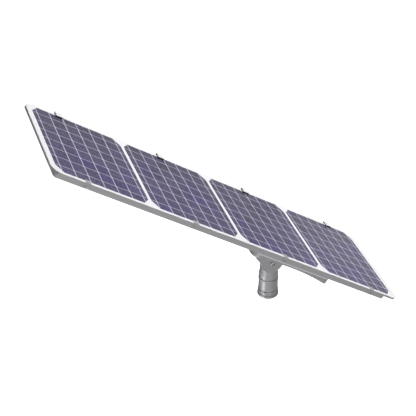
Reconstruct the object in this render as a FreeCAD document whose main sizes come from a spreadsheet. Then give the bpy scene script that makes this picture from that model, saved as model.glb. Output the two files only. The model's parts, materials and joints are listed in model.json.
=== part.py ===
import FreeCAD, Part
import math
import operator
import os
import Sketcher

# A solar street lamp: a long solar deck on a shallow tray, an arched pod under it
# with the battery, the controller and the lamp, and a tilting bracket on a spigot
# that slips over a 60 mm pole.  Millimetres, +Z up.  The origin is the middle of the
# spigot's open end, and the spigot's axis is Z.  The head's pieces are drawn in the
# head's own frame (origin on the pivot, X down the deck, Y across it, Z out of the
# glass) and are placed from there by the tilt.

SIZES = [
    # name, value, what it is
    ("tilt", 34.6, "angle of the deck to the ground, degrees"),
    ("pivot_height", 178.0, "pivot above the spigot's open end"),
    ("pivot_drop", 131.2, "pivot below the face of the deck"),
    ("pivot_offset", 328.2, "pivot from the deck's middle, towards its low end"),
    ("deck_length", 1611.0, "white deck, along the slope"),
    ("deck_width", 458.0, "white deck, across the slope"),
    ("deck_corner", 44.0, "corner radius of the deck"),
    ("rim_depth", 7.8, "height of the deck's rim"),
    ("deck_edge", 2.0, "rounding round the deck's face"),
    ("deck_web", 1.8, "metal left under a module"),
    ("web_land", 8.0, "full-depth metal inside each module's outline"),
    ("module_pitch", 400.0, "spacing of the white bars between modules"),
    ("module_gap", 14.6, "width of a white bar"),
    ("high_margin", 23.9, "white border at the deck's high end"),
    ("low_margin", 29.4, "white border at the deck's low end"),
    ("near_margin", 14.2, "white border along the near side"),
    ("far_margin", 17.7, "white border along the far side"),
    ("chamfer_long", 27.0, "cut corner of a module, along the deck"),
    ("chamfer_wide", 35.0, "cut corner of a module, across the deck"),
    ("module_thick", 4.0, "solar laminate"),
    ("module_play", 0.3, "gap round a module in its recess"),
    ("tray_depth", 14.8, "height of the tray under the deck"),
    ("tray_wall", 2.5, "side wall of the tray"),
    ("tray_floor", 2.0, "floor of the tray"),
    ("tray_corner", 12.0, "corner radius of the tray"),
    ("tray_high_inset", 16.4, "tray's end short of the deck's, high end"),
    ("tray_low_inset", 73.5, "tray's end short of the deck's, low end"),
    ("bead_width", 30.0, "pressed bead in the tray floor"),
    ("bead_depth", 1.0, "depth of a pressed bead"),
    ("rib_sheet", 1.5, "sheet of the hat ribs"),
    ("rib_top", 22.0, "top of a hat rib"),
    ("rib_foot", 14.0, "each foot of a hat rib"),
    ("box_length", 100.0, "junction box, along the deck"),
    ("box_width", 62.0, "junction box, across the deck"),
    ("box_height", 9.0, "junction box"),
    ("clip_outer", 660.0, "outer clips from the row's middle"),
    ("clip_inner", 210.0, "inner clips from the row's middle"),
    ("clip_shift", 5.0, "the row's middle from the deck's, towards the high end"),
    ("clip_sheet", 1.8, "sheet of the near clips"),
    ("clip_leg", 21.0, "leg of a clip, below the face of the deck"),
    ("tab_width", 21.0, "near clip"),
    ("tab_reach", 19.0, "near clip's lip over the deck"),
    ("clamp_width", 26.0, "far clip"),
    ("clamp_reach", 28.8, "far clip's lip over the deck"),
    ("clamp_sheet", 3.0, "plate of the far clips"),
    ("pad_height", 4.2, "rubber pad under a far clip"),
    ("side_screw", 4.0, "thread of the clip screws"),
    ("side_screw_head", 8.0, "head of the clip screws"),
    ("pod_length", 386.0, "pod along the deck"),
    ("pod_width", 274.0, "pod across the deck"),
    ("pod_shift", 15.0, "pod's middle from the pivot"),
    ("pod_corner", 27.0, "corner radius of the pod"),
    ("pod_parting", 61.5, "top of the pod's base above the pivot"),
    ("pod_crown", 54.5, "crown of the arched underside, right over the pivot"),
    ("pod_arch", 18.5, "drop of the arched underside at its low end"),
    ("pod_step", 2.0, "step from the base in to the housing"),
    ("pod_edge", 3.0, "rounding of the pod's lower edge"),
    ("pod_wall", 3.5, "wall of the housing"),
    ("pod_roof", 3.0, "roof of the housing"),
    ("base_rim", 14.0, "solid rim of the base"),
    ("base_floor_level", 60.0, "inner floor of the base above the pivot"),
    ("seat_level", 56.0, "flat seats cut in the underside, above the pivot"),
    ("gasket_thick", 4.5, "gasket between base and housing"),
    ("pod_boss", 5.5, "radius of a screw boss in the housing"),
    ("pod_boss_inset", 12.0, "screw bosses from the pod's sides"),
    ("pod_screw", 5.0, "thread of the pod screws"),
    ("pod_screw_head", 9.0, "head of the pod screws"),
    ("housing_bolt", 6.0, "bolts from the housing to the tray"),
    ("wire_slot", 60.0, "length of the slot for the module leads"),
    ("wire_slot_width", 16.0, "width of that slot"),
    ("cell_diameter", 32.2, "battery cell"),
    ("cell_length", 70.5, "battery cell"),
    ("cell_pitch", 33.6, "spacing of the cells"),
    ("cell_floor", 3.0, "plastic under a cell"),
    ("cell_play", 0.2, "gap round a cell in its cradle"),
    ("comb_height", 15.0, "height of each cell comb"),
    ("board_thick", 1.6, "circuit boards"),
    ("board_length", 100.0, "controller board, along the deck"),
    ("board_width", 150.0, "controller board, across the deck"),
    ("board_post", 8.0, "posts under the controller board"),
    ("capacitor_radius", 6.3, "capacitors on the controller board"),
    ("capacitor_height", 20.0, "capacitors on the controller board"),
    ("capacitor_pitch", 24.0, "spacing of the capacitors"),
    ("capacitor_y", 52.0, "row of capacitors off the board's middle"),
    ("coil_radius", 14.0, "coils on the controller board"),
    ("coil_bore", 6.0, "radius of the hole in a coil"),
    ("coil_height", 8.0, "coils on the controller board"),
    ("coil_x", 22.0, "coils off the board's middle, towards the high end"),
    ("coil_low_y", 20.0, "first coil off the board's middle"),
    ("coil_high_y", 16.0, "second coil off the board's middle"),
    ("switch_chip_long", 10.0, "transistors on the controller board"),
    ("switch_chip_thick", 4.5, "transistors on the controller board"),
    ("switch_chip_height", 16.0, "transistors on the controller board"),
    ("switch_chip_x", 8.0, "first transistor off the board's middle"),
    ("switch_chip_y", 6.0, "row of transistors off the board's middle"),
    ("switch_chip_pitch", 13.0, "spacing of the transistors"),
    ("terminal_long", 70.0, "terminal block"),
    ("terminal_deep", 12.0, "terminal block"),
    ("terminal_high", 11.0, "terminal block"),
    ("terminal_y", 66.0, "front of the terminal block off the board's middle"),
    ("terminal_pitch", 9.5, "spacing of the terminal block's mouths"),
    ("terminal_mouth", 6.5, "mouth of a terminal"),
    ("terminal_mouth_deep", 6.0, "depth and height of a terminal's mouth"),
    ("terminal_margin", 3.0, "terminal block beside its first mouth"),
    ("terminal_sill", 2.0, "terminal block under its mouths"),
    ("terminal_start", 1.0, "cutter of a mouth in front of the block"),
    ("well_x", 54.0, "start of the lamp well from the pivot"),
    ("well_length", 138.0, "lamp well along the deck"),
    ("well_width", 208.0, "lamp well across the deck"),
    ("well_corner", 12.0, "corner radius of the lamp well"),
    ("bezel_level", 44.5, "lower face of the lamp bezel above the pivot"),
    ("bezel_rim", 9.4, "rim of the bezel round the lens plate"),
    ("bezel_lip", 6.0, "bezel's lip under the lens plate"),
    ("bezel_play", 0.3, "gap round the bezel and the lens plate"),
    ("lens_thick", 3.0, "lens plate"),
    ("lens_gap", 2.8, "seal over the lens plate"),
    ("lens_rise", 3.6, "height of a lens"),
    ("lens_radius", 9.5, "radius of a lens"),
    ("lens_pitch_x", 24.0, "spacing of the lenses along the deck"),
    ("lens_pitch_y", 27.0, "spacing of the lenses across the deck"),
    ("led_length", 92.0, "lamp board along the deck"),
    ("led_width", 156.0, "lamp board across the deck"),
    ("chip_size", 5.0, "light source on the lamp board"),
    ("chip_height", 0.8, "light source on the lamp board"),
    ("bezel_screw", 4.0, "thread of the bezel screws"),
    ("button_inset", 28.0, "push switch in from the pod's high end"),
    ("button_y", 76.0, "push switch from the pod's middle"),
    ("switch_radius", 8.0, "barrel of the push switch"),
    ("switch_flange", 12.0, "radius of the push switch's flange"),
    ("switch_flange_thick", 2.5, "flange of the push switch"),
    ("switch_seat", 50.0, "seat of the push switch above the pivot"),
    ("button_radius", 5.5, "push button"),
    ("button_length", 12.0, "push button"),
    ("button_proud", 3.0, "push button below its flange"),
    ("button_play", 0.08, "gap round the push button"),
    ("button_travel", 2.0, "stroke of the push button"),
    ("foot_high", 151.0, "bracket foot from the pivot, towards the high end"),
    ("foot_low", 46.0, "bracket foot from the pivot, towards the low end"),
    ("foot_width", 100.0, "bracket foot across the pod"),
    ("foot_thick", 8.0, "bracket foot"),
    ("cheek_span", 80.0, "outside width over the two cheeks"),
    ("cheek_thick", 12.0, "cheek"),
    ("cheek_radius", 45.0, "round end of a cheek about the pivot"),
    ("cheek_slope", 35.5, "slope of a cheek's long edge to the deck, degrees"),
    ("foot_bolt", 8.0, "bracket bolts"),
    ("foot_bolt_high", 140.0, "high pair of bracket bolts from the pivot"),
    ("foot_bolt_low", 26.0, "low pair of bracket bolts from the pivot"),
    ("foot_bolt_gap", 36.0, "bracket bolts across the pod"),
    ("pivot_bolt", 12.0, "pivot bolt"),
    ("bolt_play", 0.5, "clearance round the bolts in plain holes"),
    ("pivot_play", 0.05, "running clearance of the pivot bolt in the tongue"),
    ("pivot_head", 21.0, "head of the pivot bolt"),
    ("pivot_head_height", 4.8, "head of the pivot bolt"),
    ("pivot_socket", 10.0, "hexagon socket of the pivot bolt, across flats"),
    ("washer_radius", 12.0, "pivot washers"),
    ("washer_thick", 2.5, "pivot washers"),
    ("nut_flats", 19.0, "pivot nut, across flats"),
    ("nut_height", 12.0, "pivot nut with its nylon ring"),
    ("disc_radius", 20.0, "friction discs beside the tongue"),
    ("disc_thick", 1.0, "friction discs"),
    ("tongue_play", 0.3, "gap between the tongue and a disc"),
    ("tongue_radius", 32.0, "round top of the tongue, and half its width"),
    ("flank_low", 108.0, "where the barrel begins to taper between the cheeks"),
    ("flank_high", 133.0, "where that taper reaches the tongue's width"),
    ("shoulder_drop", 33.0, "top of the shoulders under the cheeks, below the pivot"),
    ("saddle_play", 1.2, "gap between a cheek's round end and its saddle"),
    ("socket_radius", 30.5, "bore for the 60 mm pole"),
    ("socket_depth", 118.0, "depth of that bore"),
    ("neck_radius", 38.1, "spigot's barrel, above the upper bead"),
    ("barrel_draft", 0.8, "how much wider the barrel grows down to the lower bead"),
    ("bead_rise", 1.7, "how far a bead stands out of the barrel"),
    ("bead_length", 11.0, "length of a bead along the barrel"),
    ("upper_bead", 81.3, "middle of the upper bead"),
    ("lower_bead", 24.5, "middle of the lower bead"),
    ("groove_width", 2.6, "groove above each bead"),
    ("groove_depth", 1.9, "groove above each bead"),
    ("skirt_radius", 39.4, "barrel below the lower bead"),
    ("ring_radius", 42.3, "ring at the open end"),
    ("ring_height", 9.0, "ring at the open end"),
    ("ring_edge", 1.5, "rounding of the ring's lower edge"),
    ("set_screw", 8.0, "set screws that grip the pole"),
    ("set_screw_length", 7.0, "set screws"),
    ("set_screw_low", 46.0, "lower pair of set screws"),
    ("set_screw_high", 65.0, "upper pair of set screws"),
    ("set_screw_angle", 60.0, "set screws from the far side, degrees"),
]

MODULES = 4
LENS_ROWS = 4
LENS_COLUMNS = 6
CELL_COLUMNS = 6

doc = FreeCAD.newDocument("solar_street_lamp")
sheet = doc.addObject("Spreadsheet::Sheet", "Sizes")


class Size:
    """A number together with the formula that binds it to the sheet."""

    def __init__(self, value, formula):
        self.value = value
        self.formula = formula

    def __add__(self, other):
        return join(self, "+", other)

    def __radd__(self, other):
        return join(other, "+", self)

    def __sub__(self, other):
        return join(self, "-", other)

    def __rsub__(self, other):
        return join(other, "-", self)

    def __mul__(self, other):
        return join(self, "*", other)

    def __rmul__(self, other):
        return join(other, "*", self)

    def __truediv__(self, other):
        return join(self, "/", other)

    def __neg__(self):
        return join(0, "-", self)


OPERATORS = {"+": operator.add, "-": operator.sub, "*": operator.mul, "/": operator.truediv}


def size(number):
    if isinstance(number, Size):
        return number
    return Size(float(number), "(" + repr(float(number)) + ")")


def join(left, sign, right):
    left, right = size(left), size(right)
    value = OPERATORS[sign](left.value, right.value)
    return Size(value, "(" + left.formula + " " + sign + " " + right.formula + ")")


def sine(angle):
    return Size(math.sin(math.radians(angle.value)), "sin(" + angle.formula + " * 1 deg)")


def cosine(angle):
    return Size(math.cos(math.radians(angle.value)), "cos(" + angle.formula + " * 1 deg)")


def square_root(number):
    return Size(math.sqrt(number.value), "sqrt(" + number.formula + ")")


def fill_sheet():
    sizes = {}
    for row, (name, value, meaning) in enumerate(SIZES, start=1):
        sheet.set("A%d" % row, name)
        sheet.set("B%d" % row, str(value))
        sheet.set("C%d" % row, meaning)
        sheet.setAlias("B%d" % row, name)
        sizes[name] = Size(value, "Sizes." + name)
    doc.recompute()
    return sizes


S = fill_sheet()

# Levels and places that several pieces share, in the head's frame.
FACE = S["pivot_drop"]
DECK_UNDER = FACE - S["rim_depth"]
TRAY_UNDER = DECK_UNDER - S["tray_depth"]
TRAY_INSIDE = TRAY_UNDER + S["tray_floor"]
WEB_UNDER = FACE - S["module_thick"] - S["deck_web"]
DECK_X = -S["pivot_offset"]
DECK_HIGH = DECK_X - S["deck_length"] / 2
DECK_LOW = DECK_X + S["deck_length"] / 2
HALF_WIDTH = S["deck_width"] / 2
TRAY_HIGH = DECK_HIGH + S["tray_high_inset"]
TRAY_LOW = DECK_LOW - S["tray_low_inset"]
POD_HIGH = S["pod_shift"] - S["pod_length"] / 2
POD_LOW = S["pod_shift"] + S["pod_length"] / 2
POD_SIDE = S["pod_width"] / 2
HOUSING_UNDER = S["pod_parting"] + S["gasket_thick"]
HOUSING_INSIDE = TRAY_UNDER - S["pod_roof"]
LENS_X = S["well_x"] + S["well_length"] / 2
SCREW_LEVEL = DECK_UNDER - S["tray_depth"] / 2
CLIP_X = DECK_X - S["clip_shift"]
CLIP_STATIONS = [
    CLIP_X - S["clip_outer"],
    CLIP_X - S["clip_inner"],
    CLIP_X + S["clip_inner"],
    CLIP_X + S["clip_outer"],
]
MIDDLE_MODULE = (MODULES - 1) / 2
ROOT_PLACE = FreeCAD.Placement()
HEAD_PLACE = FreeCAD.Placement(
    FreeCAD.Vector(0, 0, S["pivot_height"].value),
    FreeCAD.Rotation(FreeCAD.Vector(0, 1, 0), S["tilt"].value),
)

pieces = []


def bind(thing, path, amount):
    thing.setExpression(path, size(amount).formula)


def new_body(label):
    body = doc.addObject("PartDesign::Body", label)
    body.Label = label
    return body


def keep(piece, place):
    piece.Placement = place
    pieces.append(piece)
    return piece


def group(label, shapes, place):
    """Several separate solids of one kind, in one node."""
    feature = doc.addObject("Part::Feature", label)
    feature.Label = label
    feature.Shape = Part.Compound(shapes)
    return keep(feature, place)


class Outline:
    """A sketch on one of its body's origin planes, every point bound to the sheet."""

    def __init__(self, body, plane, level=0):
        self.body = body
        self.sketch = body.newObject("Sketcher::SketchObject", body.Label + "_outline")
        origin_plane = next(f for f in body.Origin.OriginFeatures if f.Role == plane)
        self.sketch.AttachmentSupport = [(origin_plane, "")]
        self.sketch.MapMode = "FlatFace"
        bind(self.sketch, "AttachmentOffset.Base.z", level)

    def fix(self, kind, *where, amount):
        rule = Sketcher.Constraint(kind, *where, size(amount).value)
        index = self.sketch.addConstraint(rule)
        bind(self.sketch, "Constraints[%d]" % index, amount)

    def pin(self, geometry, end, x, y):
        self.fix("DistanceX", -1, 1, geometry, end, amount=x)
        self.fix("DistanceY", -1, 1, geometry, end, amount=y)

    def path(self, corners):
        """A closed outline.  A corner is (x, y), left by a straight side, or
        (x, y, radius, via), left by an arc that runs past the point via."""
        starts = []
        ends = []
        for here, there in zip(corners, corners[1:] + corners[:1]):
            first = vector(here[0], here[1])
            last = vector(there[0], there[1])
            if len(here) == 2:
                line = self.sketch.addGeometry(Part.LineSegment(first, last), False)
                starts.append((line, 1))
                ends.append((line, 2))
                continue
            via = vector(*here[3])
            turns_left = (via - first).cross(last - via).z > 0
            points = (first, via, last) if turns_left else (last, via, first)
            arc = self.sketch.addGeometry(Part.Arc(*points), False)
            starts.append((arc, 1 if turns_left else 2))
            ends.append((arc, 2 if turns_left else 1))
        for i, corner in enumerate(corners):
            following = starts[(i + 1) % len(corners)]
            self.sketch.addConstraint(Sketcher.Constraint("Coincident", *ends[i], *following))
            self.pin(*starts[i], corner[0], corner[1])
            if len(corner) > 2:
                self.fix("Radius", starts[i][0], amount=corner[2])
        return self

    def box(self, x0, x1, y0, y1):
        return self.path([(x0, y0), (x1, y0), (x1, y1), (x0, y1)])

    def rounded(self, x0, x1, y0, y1, radius):
        nick = radius * (1 - math.sqrt(0.5))
        return self.path([
            (x0 + radius, y0), (x1 - radius, y0, radius, (x1 - nick, y0 + nick)),
            (x1, y0 + radius), (x1, y1 - radius, radius, (x1 - nick, y1 - nick)),
            (x1 - radius, y1), (x0 + radius, y1, radius, (x0 + nick, y1 - nick)),
            (x0, y1 - radius), (x0, y0 + radius, radius, (x0 + nick, y0 + nick)),
        ])

    def circle(self, x, y, radius):
        shape = Part.Circle(vector(x, y), FreeCAD.Vector(0, 0, 1), size(radius).value)
        index = self.sketch.addGeometry(shape, False)
        self.pin(index, 3, x, y)
        self.fix("Radius", index, amount=radius)
        return self

    def pad(self, length, both_ways=False, taper=0):
        pad = self.body.newObject("PartDesign::Pad", self.body.Label + "_pad")
        pad.Profile = self.sketch
        pad.SideType = "Symmetric" if both_ways else "One side"
        pad.TaperAngle = taper
        bind(pad, "Length", length)
        doc.recompute()
        return pad

    def pocket(self, depth, upwards=False, both_ways=False):
        before = self.body.Shape.Volume
        pocket = self.body.newObject("PartDesign::Pocket", self.body.Label + "_pocket")
        pocket.Profile = self.sketch
        pocket.Reversed = upwards
        pocket.SideType = "Symmetric" if both_ways else "One side"
        bind(pocket, "Length", depth)
        doc.recompute()
        if self.body.Shape.Volume >= before - 1e-6:
            raise RuntimeError(self.body.Label + ": a pocket cuts nothing")
        return pocket

    def revolve(self):
        turned = self.body.newObject("PartDesign::Revolution", self.body.Label + "_turned")
        turned.Profile = self.sketch
        turned.ReferenceAxis = (self.sketch, ["V_Axis"])
        turned.Angle = 360
        doc.recompute()
        return turned


def vector(x, y, z=0):
    return FreeCAD.Vector(size(x).value, size(y).value, size(z).value)


def blend(body, radius, choose, chamfer=False):
    """Rounds the edges of a body's last feature that choose picks."""
    tip = body.Tip
    edges = ["Edge%d" % (i + 1) for i, edge in enumerate(tip.Shape.Edges) if choose(edge)]
    kind = "PartDesign::Chamfer" if chamfer else "PartDesign::Fillet"
    feature = body.newObject(kind, body.Label + "_edges")
    feature.Base = (tip, edges)
    bind(feature, "Size" if chamfer else "Radius", radius)
    doc.recompute()
    return feature


def close(value, amount):
    return abs(value - size(amount).value) < 1e-3


def level_edge(edge, z):
    """True for an edge that lies in the plane at height z."""
    return close(edge.BoundBox.ZMin, z) and close(edge.BoundBox.ZMax, z)


def upright_edge(edge):
    box = edge.BoundBox
    return box.ZLength > 1 and box.XLength < 1e-3 and box.YLength < 1e-3


def module_span(index):
    """First and last x of one module's recess."""
    bar_before = DECK_X + S["module_pitch"] * (index - MODULES / 2)
    bar_after = bar_before + S["module_pitch"]
    first = bar_before + S["module_gap"] / 2
    last = bar_after - S["module_gap"] / 2
    if index == 0:
        first = DECK_HIGH + S["high_margin"]
    if index == MODULES - 1:
        last = DECK_LOW - S["low_margin"]
    return first, last


def octagon(outline, index, play):
    """A module with its four corners cut off."""
    first, last = module_span(index)
    x0, x1 = first + play, last - play
    y0 = S["near_margin"] - HALF_WIDTH + play
    y1 = HALF_WIDTH - S["far_margin"] - play
    cut_x, cut_y = S["chamfer_long"], S["chamfer_wide"]
    return outline.path([
        (x0 + cut_x, y0), (x1 - cut_x, y0), (x1, y0 + cut_y), (x1, y1 - cut_y),
        (x1 - cut_x, y1), (x0 + cut_x, y1), (x0, y1 - cut_y), (x0, y0 + cut_y),
    ])


def deck_plate():
    body = new_body("deck_plate")
    outline = Outline(body, "XY_Plane", DECK_UNDER)
    outline.rounded(DECK_HIGH, DECK_LOW, -HALF_WIDTH, HALF_WIDTH, S["deck_corner"])
    outline.pad(S["rim_depth"])
    blend(body, S["deck_edge"], lambda e: level_edge(e, FACE))
    recess = Outline(body, "XY_Plane", FACE)
    hollow = Outline(body, "XY_Plane", DECK_UNDER)
    for index in range(MODULES):
        octagon(recess, index, 0)
        first, last = module_span(index)
        hollow.box(
            first + S["web_land"] + S["chamfer_long"] / 2,
            last - S["web_land"] - S["chamfer_long"] / 2,
            S["near_margin"] - HALF_WIDTH + S["web_land"],
            HALF_WIDTH - S["far_margin"] - S["web_land"],
        )
    recess.pocket(S["module_thick"])
    hollow.pocket(S["rim_depth"] - S["module_thick"] - S["deck_web"], upwards=True)
    keep(body, HEAD_PLACE)


def solar_modules():
    for index in range(MODULES):
        body = new_body("solar_module_%d" % (index + 1))
        outline = Outline(body, "XY_Plane", FACE - S["module_thick"])
        octagon(outline, index, S["module_play"])
        outline.pad(S["module_thick"])
        keep(body, HEAD_PLACE)


def rib_stations():
    """The ribs stand under the white bars between the modules."""
    return [DECK_X + S["module_pitch"] * (i - MODULES / 2) for i in range(1, MODULES)]


def housing_bolt_spots():
    along = S["pod_length"] / 2 - 30
    across = POD_SIDE - 32
    return [
        (S["pod_shift"] + along * side, across * edge)
        for side in (-1, 0.66, 1) for edge in (-1, 1)
    ]


def tray():
    body = new_body("tray")
    outline = Outline(body, "XY_Plane", TRAY_UNDER)
    outline.rounded(TRAY_HIGH, TRAY_LOW, -HALF_WIDTH, HALF_WIDTH, S["tray_corner"])
    outline.pad(S["tray_depth"])
    blend(body, 2.0, lambda e: level_edge(e, TRAY_UNDER))
    wall = S["tray_wall"]
    inside = Outline(body, "XY_Plane", DECK_UNDER)
    inside.rounded(
        TRAY_HIGH + wall, TRAY_LOW - wall, wall - HALF_WIDTH, HALF_WIDTH - wall,
        S["tray_corner"] - wall,
    )
    inside.pocket(S["tray_depth"] - S["tray_floor"])
    # Long pressed beads stiffen the floor on both sides of the pod.
    beads = Outline(body, "XY_Plane", TRAY_UNDER)
    bead_radius = S["bead_width"] / 2 - 1
    spans = [(TRAY_HIGH + 60, POD_HIGH - 60), (POD_LOW + 50, TRAY_LOW - 50)]
    for first, last in spans:
        for side in (-1, 0, 1):
            y = S["deck_width"] * 0.3 * side
            beads.rounded(
                first, last, y - S["bead_width"] / 2, y + S["bead_width"] / 2, bead_radius)
    beads.pocket(S["bead_depth"], upwards=True)
    holes = Outline(body, "XY_Plane", TRAY_UNDER)
    for x, y in housing_bolt_spots():
        holes.circle(x, y, S["housing_bolt"] / 2 + S["bolt_play"])
    slot_x = S["wire_slot"] / 2
    slot_y = S["wire_slot_width"] / 2
    holes.rounded(-slot_x, slot_x, -slot_y, slot_y, slot_y - 1)
    for side in (-1, 1):
        y = (HALF_WIDTH - 30) * side
        holes.rounded(TRAY_LOW - 34, TRAY_LOW - 14, y - 3, y + 3, size(2.5))
    holes.pocket(S["tray_floor"], upwards=True)
    screws = Outline(body, "XZ_Plane")
    for x in CLIP_STATIONS:
        screws.circle(x, SCREW_LEVEL, S["side_screw"] / 2 + 0.2)
    screws.pocket(S["deck_width"] + 10, both_ways=True)
    keep(body, HEAD_PLACE)


def cross_ribs():
    """Hat-section ribs between the tray and the deck."""
    body = new_body("rib_master")
    outline = Outline(body, "XZ_Plane")
    sheet_thick, half, foot = S["rib_sheet"], S["rib_top"] / 2, S["rib_foot"]
    low, high = TRAY_INSIDE, DECK_UNDER
    outline.path([
        (-half - foot, low), (-half + sheet_thick, low),
        (-half + sheet_thick, high - sheet_thick), (half - sheet_thick, high - sheet_thick),
        (half - sheet_thick, low), (half + foot, low), (half + foot, low + sheet_thick),
        (half, low + sheet_thick), (half, high), (-half, high),
        (-half, low + sheet_thick), (-half - foot, low + sheet_thick),
    ])
    outline.pad(S["deck_width"] - S["tray_wall"] * 2 - 20, both_ways=True)
    shapes = [body.Shape.translated(vector(x, 0)) for x in rib_stations()]
    group("cross_ribs", shapes, HEAD_PLACE)


def junction_boxes():
    """A flat box under each module, where its leads leave it."""
    body = new_body("box_master")
    half_x, half_y = S["box_length"] / 2, S["box_width"] / 2
    outline = Outline(body, "XY_Plane", WEB_UNDER - S["box_height"])
    outline.rounded(-half_x, half_x, -half_y, half_y, size(6))
    outline.pad(S["box_height"])
    lid = Outline(body, "XY_Plane", WEB_UNDER - S["box_height"] - 1)
    lid.rounded(4 - half_x, half_x - 4, 4 - half_y, half_y - 4, size(4))
    lid.pad(size(1.0))
    nipples = Outline(body, "YZ_Plane", -half_x - 8)
    for side in (-1, 1):
        nipples.circle(side * S["box_width"] / 4, WEB_UNDER - S["box_height"] / 2, size(3))
    nipples.pad(S["box_length"] + 16)
    shapes = []
    for index in range(MODULES):
        first, last = module_span(index)
        shapes.append(body.Shape.translated(vector((first + last) / 2, 60)))
    group("junction_boxes", shapes, HEAD_PLACE)


def clip_profile(body, side, reach, rise, sheet_thick):
    """A folded clip: a lip over the deck at height rise, and a leg down its side."""
    outline = Outline(body, "YZ_Plane")
    edge = HALF_WIDTH * side
    outer = edge + sheet_thick * side
    inner = edge - reach * side
    top = FACE + rise + sheet_thick
    outline.path([
        (inner, FACE + rise), (edge, FACE + rise), (edge, FACE - S["clip_leg"]),
        (outer, FACE - S["clip_leg"]), (outer, top), (inner, top),
    ])
    return outline


def clip_hole(body):
    hole = Outline(body, "XZ_Plane")
    hole.circle(0, SCREW_LEVEL, S["side_screw"] / 2 + 0.2)
    hole.pocket(S["deck_width"] + 10, both_ways=True)


def clips():
    """Four tabs on the near side, and four higher clamps on the far side whose
    rubber pads press on the modules' edges."""
    tab = new_body("tab_master")
    fold = clip_profile(tab, -1, S["tab_reach"], size(0), S["clip_sheet"])
    fold.pad(S["tab_width"], both_ways=True)
    outer = -HALF_WIDTH - S["clip_sheet"]
    blend(tab, 1.4, lambda e: is_ridge(e, outer, FACE + S["clip_sheet"]))
    clip_hole(tab)
    clamp = new_body("clamp_master")
    rise = S["pad_height"]
    fold = clip_profile(clamp, 1, S["clamp_reach"], rise, S["clamp_sheet"])
    fold.pad(S["clamp_width"], both_ways=True)
    top = FACE + rise + S["clamp_sheet"]
    ridges = (HALF_WIDTH + S["clamp_sheet"], HALF_WIDTH - S["clamp_reach"])
    blend(clamp, 1.8, lambda e: any(is_ridge(e, y, top) for y in ridges))
    clip_hole(clamp)
    pad = new_body("pad_master")
    block = Outline(pad, "YZ_Plane")
    block.box(HALF_WIDTH - S["clamp_reach"], HALF_WIDTH - 4, FACE, FACE + rise)
    block.pad(S["clamp_width"], both_ways=True)
    for label, master in (("near_tabs", tab), ("far_clamps", clamp), ("clamp_pads", pad)):
        shapes = [master.Shape.translated(vector(x, 0)) for x in CLIP_STATIONS]
        group(label, shapes, HEAD_PLACE)


def is_ridge(edge, y, z):
    """True for an edge along X at the given y and z."""
    box = edge.BoundBox
    return close(box.YMin, y) and close(box.YMax, y) and close(box.ZMin, z) and level_edge(edge, z)


def round_bar(radius, length, start, direction):
    return Part.makeCylinder(size(radius).value, size(length).value, start, direction)


def box_of(long, deep, high, corner):
    return Part.makeBox(size(long).value, size(deep).value, size(high).value, corner)


def hexagon(flats, height, start, direction):
    """A six-sided prism, by its width across flats."""
    corner = size(flats).value / math.sqrt(3)
    points = [
        FreeCAD.Vector(corner * math.cos(math.radians(60 * i)),
                       corner * math.sin(math.radians(60 * i)), 0)
        for i in range(7)
    ]
    face = Part.Face(Part.makePolygon(points))
    prism = face.extrude(FreeCAD.Vector(0, 0, size(height).value))
    turn = FreeCAD.Rotation(FreeCAD.Vector(0, 0, 1), direction)
    prism.Placement = FreeCAD.Placement(start, turn)
    return prism


def cap_screw(thread, length, head, head_height, start, direction):
    """A screw whose head sits on start and whose shank runs along direction."""
    head_height = size(head_height)
    back = FreeCAD.Vector(direction) * -1
    shank = round_bar(thread / 2, length, start, direction)
    cap = round_bar(head / 2, head_height, start, back)
    top = start + back * head_height.value
    socket = hexagon(head * 0.45, head_height * 0.6, top, direction)
    return shank.fuse(cap).cut(socket).removeSplitter()


UP = FreeCAD.Vector(0, 0, 1)
DOWN = FreeCAD.Vector(0, 0, -1)
AWAY = FreeCAD.Vector(0, 1, 0)
TOWARDS = FreeCAD.Vector(0, -1, 0)


def side_screws():
    """The screws that hold the clips' legs to the tray's walls."""
    shapes = []
    for x in CLIP_STATIONS:
        for side, inwards, plate in ((-1, AWAY, "clip_sheet"), (1, TOWARDS, "clamp_sheet")):
            start = vector(x, (HALF_WIDTH + S[plate]) * side, SCREW_LEVEL)
            length = S[plate] + S["tray_wall"] + 1.5
            shapes.append(cap_screw(
                S["side_screw"], length, S["side_screw_head"], 2.4, start, inwards))
    group("side_screws", shapes, HEAD_PLACE)


def pod_screw_spots():
    along = S["pod_length"] / 2 - S["pod_boss_inset"]
    across = POD_SIDE - S["pod_boss_inset"]
    return [
        (S["pod_shift"] + along * side, across * edge)
        for side in (-1, -0.34, 0.34, 1) for edge in (-1, 1)
    ]


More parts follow.
